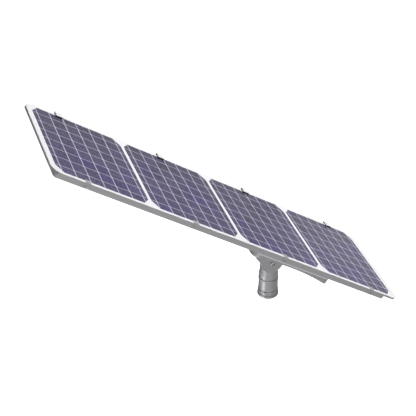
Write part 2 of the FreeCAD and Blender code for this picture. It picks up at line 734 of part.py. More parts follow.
def pod_housing():
    """The upper half of the pod: a box that is open below."""
    body = new_body("pod_housing")
    step = S["pod_step"]
    x0, x1 = POD_HIGH + step, POD_LOW - step
    half = POD_SIDE - step
    outline = Outline(body, "XY_Plane", HOUSING_UNDER)
    outline.rounded(x0, x1, -half, half, S["pod_corner"] - step)
    outline.pad(TRAY_UNDER - HOUSING_UNDER)
    wall = S["pod_wall"]
    inside = Outline(body, "XY_Plane", HOUSING_UNDER)
    inside.rounded(
        x0 + wall, x1 - wall, wall - half, half - wall, S["pod_corner"] - step - wall)
    inside.pocket(HOUSING_INSIDE - HOUSING_UNDER, upwards=True)
    bosses = Outline(body, "XY_Plane", HOUSING_UNDER)
    for x, y in pod_screw_spots():
        bosses.circle(x, y, S["pod_boss"])
    bosses.pad(HOUSING_INSIDE - HOUSING_UNDER)
    pilots = Outline(body, "XY_Plane", HOUSING_UNDER)
    for x, y in pod_screw_spots():
        pilots.circle(x, y, S["pod_screw"] / 2 + 0.05)
    pilots.pocket(size(18), upwards=True)
    holes = Outline(body, "XY_Plane", TRAY_UNDER)
    for x, y in housing_bolt_spots():
        holes.circle(x, y, S["housing_bolt"] / 2 + S["bolt_play"])
    slot_x = S["wire_slot"] / 2
    slot_y = S["wire_slot_width"] / 2
    holes.rounded(-slot_x, slot_x, -slot_y, slot_y, slot_y - 1)
    holes.pocket(S["pod_roof"])
    keep(body, HEAD_PLACE)


def pod_gasket():
    body = new_body("pod_gasket")
    step = S["pod_step"] / 4
    x0, x1 = POD_HIGH + step, POD_LOW - step
    half = POD_SIDE - step
    outline = Outline(body, "XY_Plane", S["pod_parting"])
    outline.rounded(x0, x1, -half, half, S["pod_corner"] - step)
    outline.pad(S["gasket_thick"])
    band = S["base_rim"] - step - 1
    inside = Outline(body, "XY_Plane", HOUSING_UNDER)
    inside.rounded(x0 + band, x1 - band, band - half, half - band, S["pod_corner"] / 2)
    inside.pocket(S["gasket_thick"])
    holes = Outline(body, "XY_Plane", HOUSING_UNDER)
    for x, y in pod_screw_spots():
        holes.circle(x, y, S["pod_screw"] / 2 + S["bolt_play"])
    holes.pocket(S["gasket_thick"])
    keep(body, HEAD_PLACE)


def arch_radius():
    """The arch's crown is over the pivot, and it is deepest at the pod's low end."""
    rise = S["pod_arch"]
    return (POD_LOW * POD_LOW + rise * rise) / (rise * 2)


def arch_level(x):
    """Height of the arched underside at a place x along the pod."""
    radius = arch_radius()
    return S["pod_crown"] - radius + square_root(radius * radius - x * x)


def pod_screw_seat(x):
    """The flat under a pod screw's head, just inside the arched underside."""
    return arch_level(x) + 4


def seal_spots():
    """Push switch, charge light and vent plug, side by side at the high end."""
    x = POD_HIGH + S["button_inset"]
    return (x, -S["button_y"]), (x, -S["button_y"] - 26), (x, S["button_y"])


def foot_bolt_spots():
    half = S["foot_bolt_gap"] / 2
    return [(x, half * side) for x in (-S["foot_bolt_high"], S["foot_bolt_low"]) for side in (-1, 1)]


def bezel_screw_spots():
    half_x = S["well_length"] / 2 - S["bezel_rim"] / 2
    half_y = S["well_width"] / 2 - S["bezel_rim"] / 2
    corner = S["well_corner"] / 3
    spots = [(LENS_X + (half_x - corner) * a, (half_y - corner) * b) for a in (-1, 1) for b in (-1, 1)]
    spots += [(LENS_X + half_x * a, half_y * b / 3) for a in (-1, 1) for b in (-1, 1)]
    spots += [(LENS_X, half_y * b) for b in (-1, 1)]
    return spots


def pod_base():
    """The lower half of the pod, arched underneath, with the lamp well, the bracket's
    seat and the holes for the switch, the light and the vent."""
    body = new_body("pod_base")
    side = Outline(body, "XZ_Plane")
    side.path([
        (POD_HIGH, S["pod_parting"]),
        (POD_HIGH, arch_level(POD_HIGH), arch_radius(), (0, S["pod_crown"])),
        (POD_LOW, arch_level(POD_LOW)), (POD_LOW, S["pod_parting"]),
    ])
    side.pad(S["pod_width"], both_ways=True)
    blend(body, S["pod_corner"], upright_edge)
    blend(body, S["pod_edge"], lambda e: e.BoundBox.ZMax < S["pod_crown"].value + 0.1)
    rim = S["base_rim"]
    inside = Outline(body, "XY_Plane", S["pod_parting"])
    inside.rounded(POD_HIGH + rim, POD_LOW - rim, rim - POD_SIDE, POD_SIDE - rim, S["pod_corner"] / 2)
    inside.pocket(S["pod_parting"] - S["base_floor_level"])
    floor = S["seat_level"] - 20
    well = Outline(body, "XY_Plane", floor)
    well.rounded(
        S["well_x"], S["well_x"] + S["well_length"],
        -S["well_width"] / 2, S["well_width"] / 2, S["well_corner"])
    well.pocket(size(20), upwards=True)
    seat = Outline(body, "XY_Plane", floor)
    play = S["bezel_play"]
    seat.rounded(
        -S["foot_high"] - play, S["foot_low"] + play,
        -S["foot_width"] / 2 - play, S["foot_width"] / 2 + play, size(8) + play)
    seat.pocket(size(20), upwards=True)
    through = Outline(body, "XY_Plane", floor)
    for x, y in foot_bolt_spots():
        through.circle(x, y, S["foot_bolt"] / 2 + S["bolt_play"])
    for x, y in pod_screw_spots():
        through.circle(x, y, S["pod_screw"] / 2 + S["bolt_play"])
    for (x, y), radius in zip(seal_spots(), (S["switch_radius"] + 0.2, size(4.2), size(6.2))):
        through.circle(x, y, radius)
    through.circle(S["well_x"] + 14, 0, size(4))
    for x, y in bezel_screw_spots():
        through.circle(x, y, S["bezel_screw"] / 2 + 0.05)
    through.pocket(size(40), upwards=True)
    spots = pod_screw_spots()
    for pair in zip(spots[::2], spots[1::2]):
        sinks = Outline(body, "XY_Plane", floor)
        for x, y in pair:
            sinks.circle(x, y, S["pod_screw_head"] / 2 + S["bolt_play"])
        sinks.pocket(pod_screw_seat(x) - floor, upwards=True)
    counters = Outline(body, "XY_Plane", floor)
    for (x, y), radius in zip(seal_spots(), (S["switch_flange"] + 1, size(7.5), size(10))):
        counters.circle(x, y, radius)
    counters.pocket(S["switch_seat"] + 20 - S["seat_level"], upwards=True)
    keep(body, HEAD_PLACE)


def pod_screws():
    shapes = []
    for x, y in pod_screw_spots():
        start = vector(x, y, pod_screw_seat(x))
        length = HOUSING_UNDER - pod_screw_seat(x) + 12
        shapes.append(cap_screw(S["pod_screw"], length, S["pod_screw_head"], 3.2, start, UP))
    group("pod_screws", shapes, HEAD_PLACE)


def housing_bolts():
    """Bolts up through the housing's roof and the tray's floor, each with its nut."""
    shapes = []
    thread = S["housing_bolt"]
    reach = S["pod_roof"] + S["tray_floor"] + 6
    for x, y in housing_bolt_spots():
        bolt = cap_screw(thread, reach, size(10.5), 4.0, vector(x, y, HOUSING_INSIDE), UP)
        ring = hexagon(size(10), 5.0, vector(x, y, TRAY_INSIDE), UP)
        ring = ring.cut(round_bar(thread / 2, 8, vector(x, y, TRAY_INSIDE - 1), UP))
        shapes += [bolt, ring]
    group("housing_bolts", shapes, HEAD_PLACE)


def cell_spots():
    """Two rows of cells that lie along the deck: first x, y and axis height."""
    level = S["base_floor_level"] + S["cell_floor"] + S["cell_diameter"] / 2
    spots = []
    for row in range(2):
        x = (S["cell_length"] + 2) * row + 10 - S["foot_bolt_high"]
        for column in range(CELL_COLUMNS):
            y = S["cell_pitch"] * (column - (CELL_COLUMNS - 1) / 2)
            spots.append((x, y, level))
    return spots


def cell_comb(label, low, high):
    """A moulded comb whose cradles hold the cells, from low to high."""
    spots = cell_spots()
    first = spots[0][0] - 1
    last = spots[-1][0] + S["cell_length"] + 1
    half = S["cell_pitch"] * (CELL_COLUMNS / 2) + 2
    body = new_body(label)
    outline = Outline(body, "XY_Plane", low)
    outline.rounded(first, last, -half, half, size(3))
    outline.pad(high - low)
    cradles = Outline(body, "YZ_Plane", first - 5)
    for x, y, level in spots[:CELL_COLUMNS]:
        cradles.circle(y, level, S["cell_diameter"] / 2 + S["cell_play"])
    cradles.pocket(last - first + 10, upwards=True)
    keep(body, HEAD_PLACE)


def battery():
    spots = cell_spots()
    axis = spots[0][2]
    low = S["base_floor_level"]
    top = axis + S["cell_diameter"] / 2 + S["cell_floor"]
    cell_comb("cell_tray", low, low + S["comb_height"])
    cell_comb("cell_clamp", top - S["comb_height"], top)
    along = FreeCAD.Vector(1, 0, 0)
    shapes = []
    for x, y, level in spots:
        can = round_bar(S["cell_diameter"] / 2, S["cell_length"] - 1.5, vector(x, y, level), along)
        cap = round_bar(size(5), S["cell_length"], vector(x, y, level), along)
        shapes.append(can.fuse(cap).removeSplitter())
    group("battery_cells", shapes, HEAD_PLACE)


BOARD_X = S["well_x"] + S["well_length"] / 2
BOARD_LEVEL = S["base_floor_level"] + S["board_post"]


def board_post_spots():
    half_x = S["board_length"] / 2 - 6
    half_y = S["board_width"] / 2 - 6
    return [(BOARD_X + half_x * a, half_y * b) for a in (-1, 1) for b in (-1, 1)]


def controller():
    body = new_body("controller_board")
    half_x, half_y = S["board_length"] / 2, S["board_width"] / 2
    outline = Outline(body, "XY_Plane", BOARD_LEVEL)
    outline.rounded(BOARD_X - half_x, BOARD_X + half_x, -half_y, half_y, size(4))
    outline.pad(S["board_thick"])
    keep(body, HEAD_PLACE)
    posts = [
        round_bar(size(4), S["board_post"], vector(x, y, S["base_floor_level"]), UP)
        for x, y in board_post_spots()
    ]
    group("board_posts", posts, HEAD_PLACE)
    top = BOARD_LEVEL + S["board_thick"]
    parts = []
    for i in range(4):
        x = BOARD_X + S["capacitor_pitch"] * (i - 1.5)
        foot = vector(x, S["capacitor_y"], top)
        parts.append(round_bar(S["capacitor_radius"], S["capacitor_height"], foot, UP))
    for y in (-S["coil_low_y"], S["coil_high_y"]):
        foot = vector(BOARD_X - S["coil_x"], y, top)
        coil = round_bar(S["coil_radius"], S["coil_height"], foot, UP)
        parts.append(coil.cut(round_bar(S["coil_bore"], S["coil_height"], foot, UP)))
    for i in range(3):
        x = BOARD_X + S["switch_chip_x"] + S["switch_chip_pitch"] * i
        parts.append(box_of(
            S["switch_chip_long"], S["switch_chip_thick"], S["switch_chip_height"],
            vector(x, -S["switch_chip_y"], top)))
    end = BOARD_X - S["terminal_long"] / 2
    terminal = box_of(
        S["terminal_long"], S["terminal_deep"], S["terminal_high"],
        vector(end, -S["terminal_y"], top))
    for i in range(7):
        x = end + S["terminal_margin"] + S["terminal_pitch"] * i
        terminal = terminal.cut(box_of(
            S["terminal_mouth"], S["terminal_mouth_deep"], S["terminal_mouth_deep"],
            vector(x, -S["terminal_y"] - S["terminal_start"], top + S["terminal_sill"])))
    parts.append(terminal)
    group("controller_parts", parts, HEAD_PLACE)


def lens_spots():
    return [
        (LENS_X + S["lens_pitch_x"] * (row - (LENS_ROWS - 1) / 2),
         S["lens_pitch_y"] * (column - (LENS_COLUMNS - 1) / 2))
        for row in range(LENS_ROWS) for column in range(LENS_COLUMNS)
    ]


def dome(body, x, y, level):
    """A lens: the cap of a sphere, hanging below level."""
    radius, rise = S["lens_radius"], S["lens_rise"]
    curve = (radius * radius + rise * rise) / (rise * 2)
    cap = body.newObject("PartDesign::AdditiveSphere", "lens")
    bind(cap, "Radius", curve)
    cap.Angle1 = -90
    latitude = "-acos(" + (radius / curve).formula + ")"
    cap.setExpression("Angle2", latitude)
    cap.Placement = FreeCAD.Placement(vector(x, y, level + curve - rise), FreeCAD.Rotation())
    doc.recompute()


def lamp():
    """The lamp board with its light sources, the lens plate, its seal and bezel."""
    ceiling = S["seat_level"]
    rim, play = S["bezel_rim"], S["bezel_play"]
    lens_top = ceiling - S["lens_gap"]
    lens_under = lens_top - S["lens_thick"]
    half_x = S["well_length"] / 2
    half_y = S["well_width"] / 2
    board = new_body("led_board")
    outline = Outline(board, "XY_Plane", ceiling - S["board_thick"])
    outline.rounded(
        LENS_X - S["led_length"] / 2, LENS_X + S["led_length"] / 2,
        -S["led_width"] / 2, S["led_width"] / 2, size(4))
    outline.pad(S["board_thick"])
    keep(board, HEAD_PLACE)
    chip, height = S["chip_size"].value, S["chip_height"].value
    chips = []
    for x, y in lens_spots():
        corner = vector(x - chip / 2, y - chip / 2, ceiling - S["board_thick"] - height)
        chips.append(Part.makeBox(chip, chip, height, corner))
    group("led_chips", chips, HEAD_PLACE)
    plate_x, plate_y = half_x - rim - play, half_y - rim - play
    plate_corner = S["well_corner"] / 2
    seal = new_body("lens_seal")
    outline = Outline(seal, "XY_Plane", lens_top)
    outline.rounded(LENS_X - plate_x, LENS_X + plate_x, -plate_y, plate_y, plate_corner)
    outline.pad(S["lens_gap"])
    band = S["bezel_lip"] - 1
    inside = Outline(seal, "XY_Plane", ceiling)
    inside.rounded(
        LENS_X - plate_x + band, LENS_X + plate_x - band, band - plate_y, plate_y - band, size(2))
    inside.pocket(S["lens_gap"])
    keep(seal, HEAD_PLACE)
    plate = new_body("lens_plate")
    outline = Outline(plate, "XY_Plane", lens_under)
    outline.rounded(LENS_X - plate_x, LENS_X + plate_x, -plate_y, plate_y, plate_corner)
    outline.pad(S["lens_thick"])
    for x, y in lens_spots():
        dome(plate, x, y, lens_under)
    keep(plate, HEAD_PLACE)
    bezel = new_body("lens_bezel")
    outline = Outline(bezel, "XY_Plane", S["bezel_level"])
    outer_x, outer_y = half_x - play, half_y - play
    outline.rounded(
        LENS_X - outer_x, LENS_X + outer_x, -outer_y, outer_y, S["well_corner"] - play)
    outline.pad(ceiling - S["bezel_level"])
    blend(bezel, 2.5, lambda e: level_edge(e, S["bezel_level"]), chamfer=True)
    nest = Outline(bezel, "XY_Plane", ceiling)
    nest.rounded(
        LENS_X - plate_x - play, LENS_X + plate_x + play,
        -plate_y - play, plate_y + play, plate_corner + play)
    nest.pocket(ceiling - lens_under)
    window = Outline(bezel, "XY_Plane", ceiling)
    lip = S["bezel_lip"]
    window.rounded(
        LENS_X - plate_x + lip, LENS_X + plate_x - lip, lip - plate_y, plate_y - lip, size(4))
    window.pocket(ceiling - S["bezel_level"])
    blend(bezel, 2.0, lambda e: level_edge(e, S["bezel_level"]) and inside_window(e), chamfer=True)
    holes = Outline(bezel, "XY_Plane", ceiling)
    for x, y in bezel_screw_spots():
        holes.circle(x, y, S["bezel_screw"] / 2 + 0.2)
    holes.pocket(ceiling - S["bezel_level"])
    sinks = Outline(bezel, "XY_Plane", S["bezel_level"])
    for x, y in bezel_screw_spots():
        sinks.circle(x, y, S["bezel_screw"] * 0.95)
    sinks.pocket(size(3.0), upwards=True)
    keep(bezel, HEAD_PLACE)
    screws = []
    head = S["bezel_screw"] * 1.75
    for x, y in bezel_screw_spots():
        start = vector(x, y, S["bezel_level"] + 3.0)
        length = S["base_floor_level"] - S["bezel_level"] - 4.0
        screws.append(cap_screw(S["bezel_screw"], length, head, 2.4, start, UP))
    group("bezel_screws", screws, HEAD_PLACE)


def inside_window(edge):
    box = edge.BoundBox
    half = (S["well_length"] / 2 - S["bezel_rim"]).value
    centre = LENS_X.value
    return box.XMin > centre - half and box.XMax < centre + half


def switch():
    """The push switch in the pod's base, with its nut and its sealed button."""
    (x, y), light, vent = seal_spots()
    seat = S["switch_seat"]
    flange_under = seat - S["switch_flange_thick"]
    barrel_top = seat + 24
    body = new_body("switch_body")
    flange = Outline(body, "XY_Plane", flange_under)
    flange.circle(x, y, S["switch_flange"])
    flange.pad(S["switch_flange_thick"])
    blend(body, 1.0, lambda e: level_edge(e, flange_under))
    barrel = Outline(body, "XY_Plane", seat)
    barrel.circle(x, y, S["switch_radius"])
    barrel.pad(barrel_top - seat)
    bore = Outline(body, "XY_Plane", flange_under)
    bore.circle(x, y, S["button_radius"] + S["button_play"])
    bore.pocket(S["button_length"] - S["button_proud"] + S["button_travel"] + 1, upwards=True)
    keep(body, HEAD_PLACE)
    nut_under = S["base_floor_level"]
    inside = vector(x, y, nut_under)
    nut = hexagon(S["switch_radius"] * 2.75, 4.0, inside, UP)
    nut = nut.cut(round_bar(S["switch_radius"] + 0.05, 6, inside + DOWN, UP))
    group("switch_nut", [nut], HEAD_PLACE)
    button = new_body("switch_button")
    outline = Outline(button, "XY_Plane", flange_under - S["button_proud"])
    outline.circle(x, y, S["button_radius"])
    outline.pad(S["button_length"])
    crown = flange_under - S["button_proud"]
    blend(button, 1.2, lambda e: level_edge(e, crown))
    keep(button, HEAD_PLACE)
    lens = new_body("charge_light")
    outline = Outline(lens, "XY_Plane", seat - 2)
    outline.circle(*light, size(6.5))
    outline.pad(size(2))
    blend(lens, 1.4, lambda e: level_edge(e, seat - 2))
    stem = Outline(lens, "XY_Plane", seat)
    stem.circle(*light, size(4.0))
    stem.pad(size(14))
    keep(lens, HEAD_PLACE)
    plug = new_body("vent_plug")
    outline = Outline(plug, "XY_Plane", seat - 4)
    outline.circle(*vent, size(9))
    outline.pad(size(4))
    blend(plug, 1.2, lambda e: level_edge(e, seat - 4))
    stem = Outline(plug, "XY_Plane", seat)
    stem.circle(*vent, size(6))
    stem.pad(size(14))
    keep(plug, HEAD_PLACE)


def bracket():
    """The cast bracket: a foot seated in the pod's base, and two cheeks whose long
    edges run down to round ends about the pivot."""
    body = new_body("bracket")
    foot_top = S["seat_level"]
    foot_under = foot_top - S["foot_thick"]
    foot = Outline(body, "XY_Plane", foot_under)
    foot.rounded(
        -S["foot_high"], S["foot_low"], -S["foot_width"] / 2, S["foot_width"] / 2, size(8))
    foot.pad(S["foot_thick"])
    radius, slope = S["cheek_radius"], S["cheek_slope"]
    touch_x = -radius * sine(slope)
    touch_z = -radius * cosine(slope)
    run = (foot_under - touch_z) * cosine(slope) / sine(slope)
    cheeks = Outline(body, "XZ_Plane")
    cheeks.path([
        (touch_x, touch_z, radius, (radius * math.sqrt(0.5), -radius * math.sqrt(0.5))),
        (radius, 0), (radius, foot_under), (touch_x - run, foot_under),
    ])
    cheeks.pad(S["cheek_span"], both_ways=True)
    blend(body, 1.2, lambda e: on_cheek_rim(e, foot_under))
    slot = Outline(body, "XZ_Plane")
    slot.box(-S["foot_high"] - 40, radius + 20, -radius - 20, foot_under)
    slot.pocket(S["cheek_span"] - S["cheek_thick"] * 2, both_ways=True)
    pivot = Outline(body, "XZ_Plane")
    pivot.circle(0, 0, S["pivot_bolt"] / 2 + S["bolt_play"])
    pivot.pocket(S["cheek_span"] + 10, both_ways=True)
    holes = Outline(body, "XY_Plane", foot_top)
    for x, y in foot_bolt_spots():
        holes.circle(x, y, S["foot_bolt"] / 2 + S["bolt_play"])
    holes.pocket(S["foot_thick"])
    keep(body, HEAD_PLACE)
    shapes = []
    for x, y in foot_bolt_spots():
        ring = round_bar(S["foot_bolt"] * 1.0, 1.6, vector(x, y, foot_under), DOWN)
        ring = ring.cut(round_bar(S["foot_bolt"] / 2 + 0.2, 4, vector(x, y, foot_under + 1), DOWN))
        length = S["base_floor_level"] - foot_under + 8
        bolt = cap_screw(
            S["foot_bolt"], length, size(13), 7.0, vector(x, y, foot_under - 1.6), UP)
        nut = hexagon(size(13), 6.5, vector(x, y, S["base_floor_level"]), UP)
        nut = nut.cut(round_bar(S["foot_bolt"] / 2, 9, vector(x, y, S["base_floor_level"] - 1), UP))
        shapes += [ring, bolt, nut]
    group("bracket_bolts", shapes, HEAD_PLACE)


def on_cheek_rim(edge, foot_under):
    """The outer rim of the two cheeks, below the foot."""
    box = edge.BoundBox
    outside = close(box.YMin, box.YMax) and close(abs(box.YMax), S["cheek_span"] / 2)
    return outside and box.ZMin < size(foot_under).value - 1


def pivot():
    """The pivot bolt through cheeks and tongue, with its nut, washers and discs."""
    outside = S["cheek_span"] / 2
    washer = S["washer_thick"]
    thread = S["pivot_bolt"]
    head_face = -outside - washer
    length = (outside + washer) * 2 + S["nut_height"] + 3
    bolt = round_bar(thread / 2, length, vector(0, head_face), AWAY)
    dome = round_bar(S["pivot_head"] / 2, S["pivot_head_height"], vector(0, head_face), TOWARDS)
    top = head_face - S["pivot_head_height"]
    dome = dome.makeFillet(3.2, [e for e in dome.Edges if close(e.BoundBox.YMax, top)])
    socket = hexagon(S["pivot_socket"], S["pivot_head_height"] * 0.6, vector(0, top), AWAY)
    group("pivot_bolt", [bolt.fuse(dome).cut(socket).removeSplitter()], HEAD_PLACE)
    nut_face = outside + washer
    nut = hexagon(S["nut_flats"], S["nut_height"], vector(0, nut_face), AWAY)
    nut = nut.cut(round_bar(thread / 2, S["nut_height"] + 2, vector(0, nut_face - 1), AWAY))
    group("pivot_nut", [nut], HEAD_PLACE)
    rings = []
    discs = []
    inner = outside - S["cheek_thick"] - S["disc_thick"]
    for side, outwards in ((-1, TOWARDS), (1, AWAY)):
        bore = round_bar(thread / 2 + 0.25, S["deck_width"], vector(0, -HALF_WIDTH), AWAY)
        ring = round_bar(S["washer_radius"], washer, vector(0, outside * side), outwards)
        rings.append(ring.cut(bore))
        disc = round_bar(S["disc_radius"], S["disc_thick"], vector(0, inner * side), outwards)
        discs.append(disc.cut(bore))
    group("pivot_washers", rings, HEAD_PLACE)
    group("friction_discs", discs, HEAD_PLACE)


def spigot_profile(outline):
    """Half of the turned outside: ring, skirt, lower bead, barrel, upper bead, and the
    taper up to the tongue."""
    neck, rise = S["neck_radius"], S["bead_rise"]
    half = S["bead_length"] / 2
    curve = (half * half + rise * rise) / (rise * 2)
    ring, edge = S["ring_radius"], S["ring_edge"]
    nick = edge * (1 - math.sqrt(0.5))
    skirt = S["skirt_radius"]
    low_bead_top = S["lower_bead"] + half
    high_bead_top = S["upper_bead"] + half
    deep = neck - S["groove_depth"]
    wide = neck + S["barrel_draft"]
    wide_deep = wide - S["groove_depth"]
    tongue, top = S["tongue_radius"], S["pivot_height"] + S["tongue_radius"]
    outline.path([
        (0, 0), (ring - edge, 0, edge, (ring - nick, nick)), (ring, edge),
        (ring, S["ring_height"]), (skirt, S["ring_height"] + 3), (skirt, S["lower_bead"] - half),
        (wide, S["lower_bead"] - half, curve + 0.0, (wide + rise, S["lower_bead"])),
        (wide, low_bead_top), (wide_deep, low_bead_top),
        (wide_deep, low_bead_top + S["groove_width"]),
        (wide, low_bead_top + S["groove_width"]),
        (neck, S["upper_bead"] - half, curve + 0.0, (neck + rise, S["upper_bead"])),
        (neck, high_bead_top), (deep, high_bead_top), (deep, high_bead_top + S["groove_width"]),
        (neck, high_bead_top + S["groove_width"]), (neck, S["flank_low"]),
        (tongue, S["flank_high"]), (tongue, top), (0, top),
    ])


def set_screw_places():
    """Two set screws at each of two levels, on the far side of the spigot."""
    places = []
    for level in (S["set_screw_low"], S["set_screw_high"]):
        for side in (-1, 1):
            angle = math.radians(S["set_screw_angle"].value) * side
            outwards = FreeCAD.Vector(math.sin(angle), math.cos(angle), 0)
            places.append((level, outwards))
    return places


def spigot():
    """The cast spigot that slips over the pole.  It tapers to the tongue that tilts, and
    under each cheek the barrel runs on up to a shoulder, hollowed for the round end."""
    body = new_body("spigot")
    outline = Outline(body, "XZ_Plane")
    spigot_profile(outline)
    outline.revolve()
    half = S["cheek_span"] / 2 - S["cheek_thick"] - S["disc_thick"] - S["tongue_play"]
    neck, radius, pivot_level = S["neck_radius"], S["tongue_radius"], S["pivot_height"]
    chord = square_root(neck * neck - half * half)
    shoulders = Outline(body, "XY_Plane", S["flank_low"])
    for side in (-1, 1):
        shoulders.path([(-chord, half * side), (chord, half * side, neck, (0, neck * side))])
    shoulders.pad(pivot_level - S["shoulder_drop"] - S["flank_low"])
    for side in (-1, 1):
        saddle = Outline(body, "XZ_Plane", -half * side)
        saddle.circle(0, pivot_level, S["cheek_radius"] + S["saddle_play"])
        saddle.pocket(neck, upwards=side < 0)
    crown = Outline(body, "XZ_Plane")
    clear = radius + 2
    bend = math.sqrt(0.5)
    crown.path([
        (-clear, pivot_level),
        (-radius, pivot_level, radius, (-radius * bend, pivot_level + radius * bend)),
        (0, pivot_level + radius, radius, (radius * bend, pivot_level + radius * bend)),
        (radius, pivot_level), (clear, pivot_level),
        (clear, pivot_level + clear), (-clear, pivot_level + clear),
    ])
    crown.pocket(S["cheek_span"], both_ways=True)
    bore = Outline(body, "XY_Plane")
    bore.circle(0, 0, S["socket_radius"])
    bore.pocket(S["socket_depth"], upwards=True)
    pivot_hole = Outline(body, "XZ_Plane")
    pivot_hole.circle(0, pivot_level, S["pivot_bolt"] / 2 + S["pivot_play"])
    pivot_hole.pocket(S["cheek_span"], both_ways=True)
    for level, outwards in set_screw_places():
        hole = body.newObject("PartDesign::SubtractiveCylinder", "set_screw_hole")
        bind(hole, "Radius", S["set_screw"] / 2 + 0.05)
        bind(hole, "Height", S["ring_radius"] + 5)
        hole.Placement = FreeCAD.Placement(
            vector(0, 0, level), FreeCAD.Rotation(UP, outwards))
        doc.recompute()
    keep(body, ROOT_PLACE)
    screws = []
    for level, outwards in set_screw_places():
        start = vector(0, 0, level) + outwards * (S["socket_radius"] + 0.4).value
        screw = round_bar(S["set_screw"] / 2, S["set_screw_length"], start, outwards)
        top = start + outwards * S["set_screw_length"].value
        screws.append(screw.cut(hexagon(S["set_screw"] / 2, 5.0, top, outwards * -1)))
    group("set_screws", screws, ROOT_PLACE)


def build():
    deck_plate()
    solar_modules()
    tray()
    cross_ribs()
    junction_boxes()
    clips()
    side_screws()
    pod_housing()
    pod_gasket()
    pod_base()
    pod_screws()
    housing_bolts()
    battery()
    controller()
    lamp()
    switch()
    bracket()
    pivot()
    spigot()


def check_and_write():
    doc.recompute()
    for thing in doc.Objects:
        if "Invalid" in thing.State or "Error" in thing.State:
            raise RuntimeError(thing.Label + " failed: " + str(thing.State))
    os.makedirs("parts", exist_ok=True)
    for piece in pieces:
        shape = piece.Shape
        if shape.isNull() or not shape.isValid():
            raise RuntimeError(piece.Label + " has no valid shape")
        shape.exportStep("parts/%s.step" % piece.Label)
        print("%-18s %3d solids %9.0f mm3" % (piece.Label, len(shape.Solids), shape.Volume))


build()
check_and_write()
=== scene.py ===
"""Finishes and a studio for a solar street lamp.

The lamp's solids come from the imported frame.  This file gives each of them its finish, draws
the rubber feet under the far clamps anew, and sets up the floor, the lights and the camera.
"""

import json
import math

import bmesh
import bpy
from mathutils import Matrix, Vector
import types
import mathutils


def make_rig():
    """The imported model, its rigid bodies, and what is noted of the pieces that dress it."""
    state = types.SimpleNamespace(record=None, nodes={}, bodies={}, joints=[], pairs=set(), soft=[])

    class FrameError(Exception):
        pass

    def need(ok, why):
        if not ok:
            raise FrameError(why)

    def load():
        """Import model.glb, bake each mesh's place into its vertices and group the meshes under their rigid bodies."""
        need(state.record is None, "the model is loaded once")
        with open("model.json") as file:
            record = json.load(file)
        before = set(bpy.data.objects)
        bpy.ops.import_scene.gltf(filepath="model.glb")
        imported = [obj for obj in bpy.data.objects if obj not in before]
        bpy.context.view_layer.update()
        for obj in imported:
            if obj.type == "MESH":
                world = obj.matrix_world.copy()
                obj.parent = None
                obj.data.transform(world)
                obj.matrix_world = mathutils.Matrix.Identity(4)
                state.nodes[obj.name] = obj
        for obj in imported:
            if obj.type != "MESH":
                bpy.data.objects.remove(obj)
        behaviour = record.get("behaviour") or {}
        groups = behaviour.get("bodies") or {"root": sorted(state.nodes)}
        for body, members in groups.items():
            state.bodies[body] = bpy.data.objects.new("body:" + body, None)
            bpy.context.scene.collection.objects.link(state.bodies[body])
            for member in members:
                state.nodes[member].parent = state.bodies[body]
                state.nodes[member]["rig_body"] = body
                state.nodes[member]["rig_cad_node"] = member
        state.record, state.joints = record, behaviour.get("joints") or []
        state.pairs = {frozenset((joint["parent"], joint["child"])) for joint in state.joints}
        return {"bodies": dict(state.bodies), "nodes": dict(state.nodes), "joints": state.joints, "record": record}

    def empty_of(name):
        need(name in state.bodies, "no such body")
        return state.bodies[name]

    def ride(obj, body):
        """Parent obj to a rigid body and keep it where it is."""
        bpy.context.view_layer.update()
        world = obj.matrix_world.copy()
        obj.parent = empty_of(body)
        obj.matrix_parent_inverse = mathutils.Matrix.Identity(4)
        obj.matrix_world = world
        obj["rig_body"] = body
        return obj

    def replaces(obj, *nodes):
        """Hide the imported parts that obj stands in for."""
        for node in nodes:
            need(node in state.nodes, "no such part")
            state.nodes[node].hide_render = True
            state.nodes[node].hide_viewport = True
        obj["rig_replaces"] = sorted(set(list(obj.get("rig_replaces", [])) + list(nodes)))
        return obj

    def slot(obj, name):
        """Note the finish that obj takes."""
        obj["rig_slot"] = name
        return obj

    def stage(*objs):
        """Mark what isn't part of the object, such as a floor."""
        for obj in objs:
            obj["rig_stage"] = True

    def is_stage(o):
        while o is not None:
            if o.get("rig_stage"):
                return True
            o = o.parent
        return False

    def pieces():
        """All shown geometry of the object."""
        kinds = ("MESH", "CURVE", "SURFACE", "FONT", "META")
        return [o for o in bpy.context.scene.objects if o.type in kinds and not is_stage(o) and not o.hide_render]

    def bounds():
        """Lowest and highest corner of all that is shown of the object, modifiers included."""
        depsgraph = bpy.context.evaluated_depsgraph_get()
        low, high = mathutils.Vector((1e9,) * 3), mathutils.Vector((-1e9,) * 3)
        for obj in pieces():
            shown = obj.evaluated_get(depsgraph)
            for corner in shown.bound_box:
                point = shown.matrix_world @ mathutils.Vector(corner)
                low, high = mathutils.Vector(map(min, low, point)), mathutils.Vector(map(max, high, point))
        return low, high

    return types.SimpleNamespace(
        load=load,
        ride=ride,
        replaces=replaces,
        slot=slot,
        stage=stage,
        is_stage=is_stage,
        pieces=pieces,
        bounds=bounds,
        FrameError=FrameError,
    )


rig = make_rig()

bl_info = {
    "name": "Solar Street Lamp",
    "version": (1, 0, 0),
    "blender": (4, 5, 0),
    "location": "View3D > Sidebar > Lamp",
    "description": "Finishes and fittings for a tilting solar street lamp",
    "category": "Object",
}

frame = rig.load()
cad_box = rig.bounds()

MM = 0.001
MODULES = 4

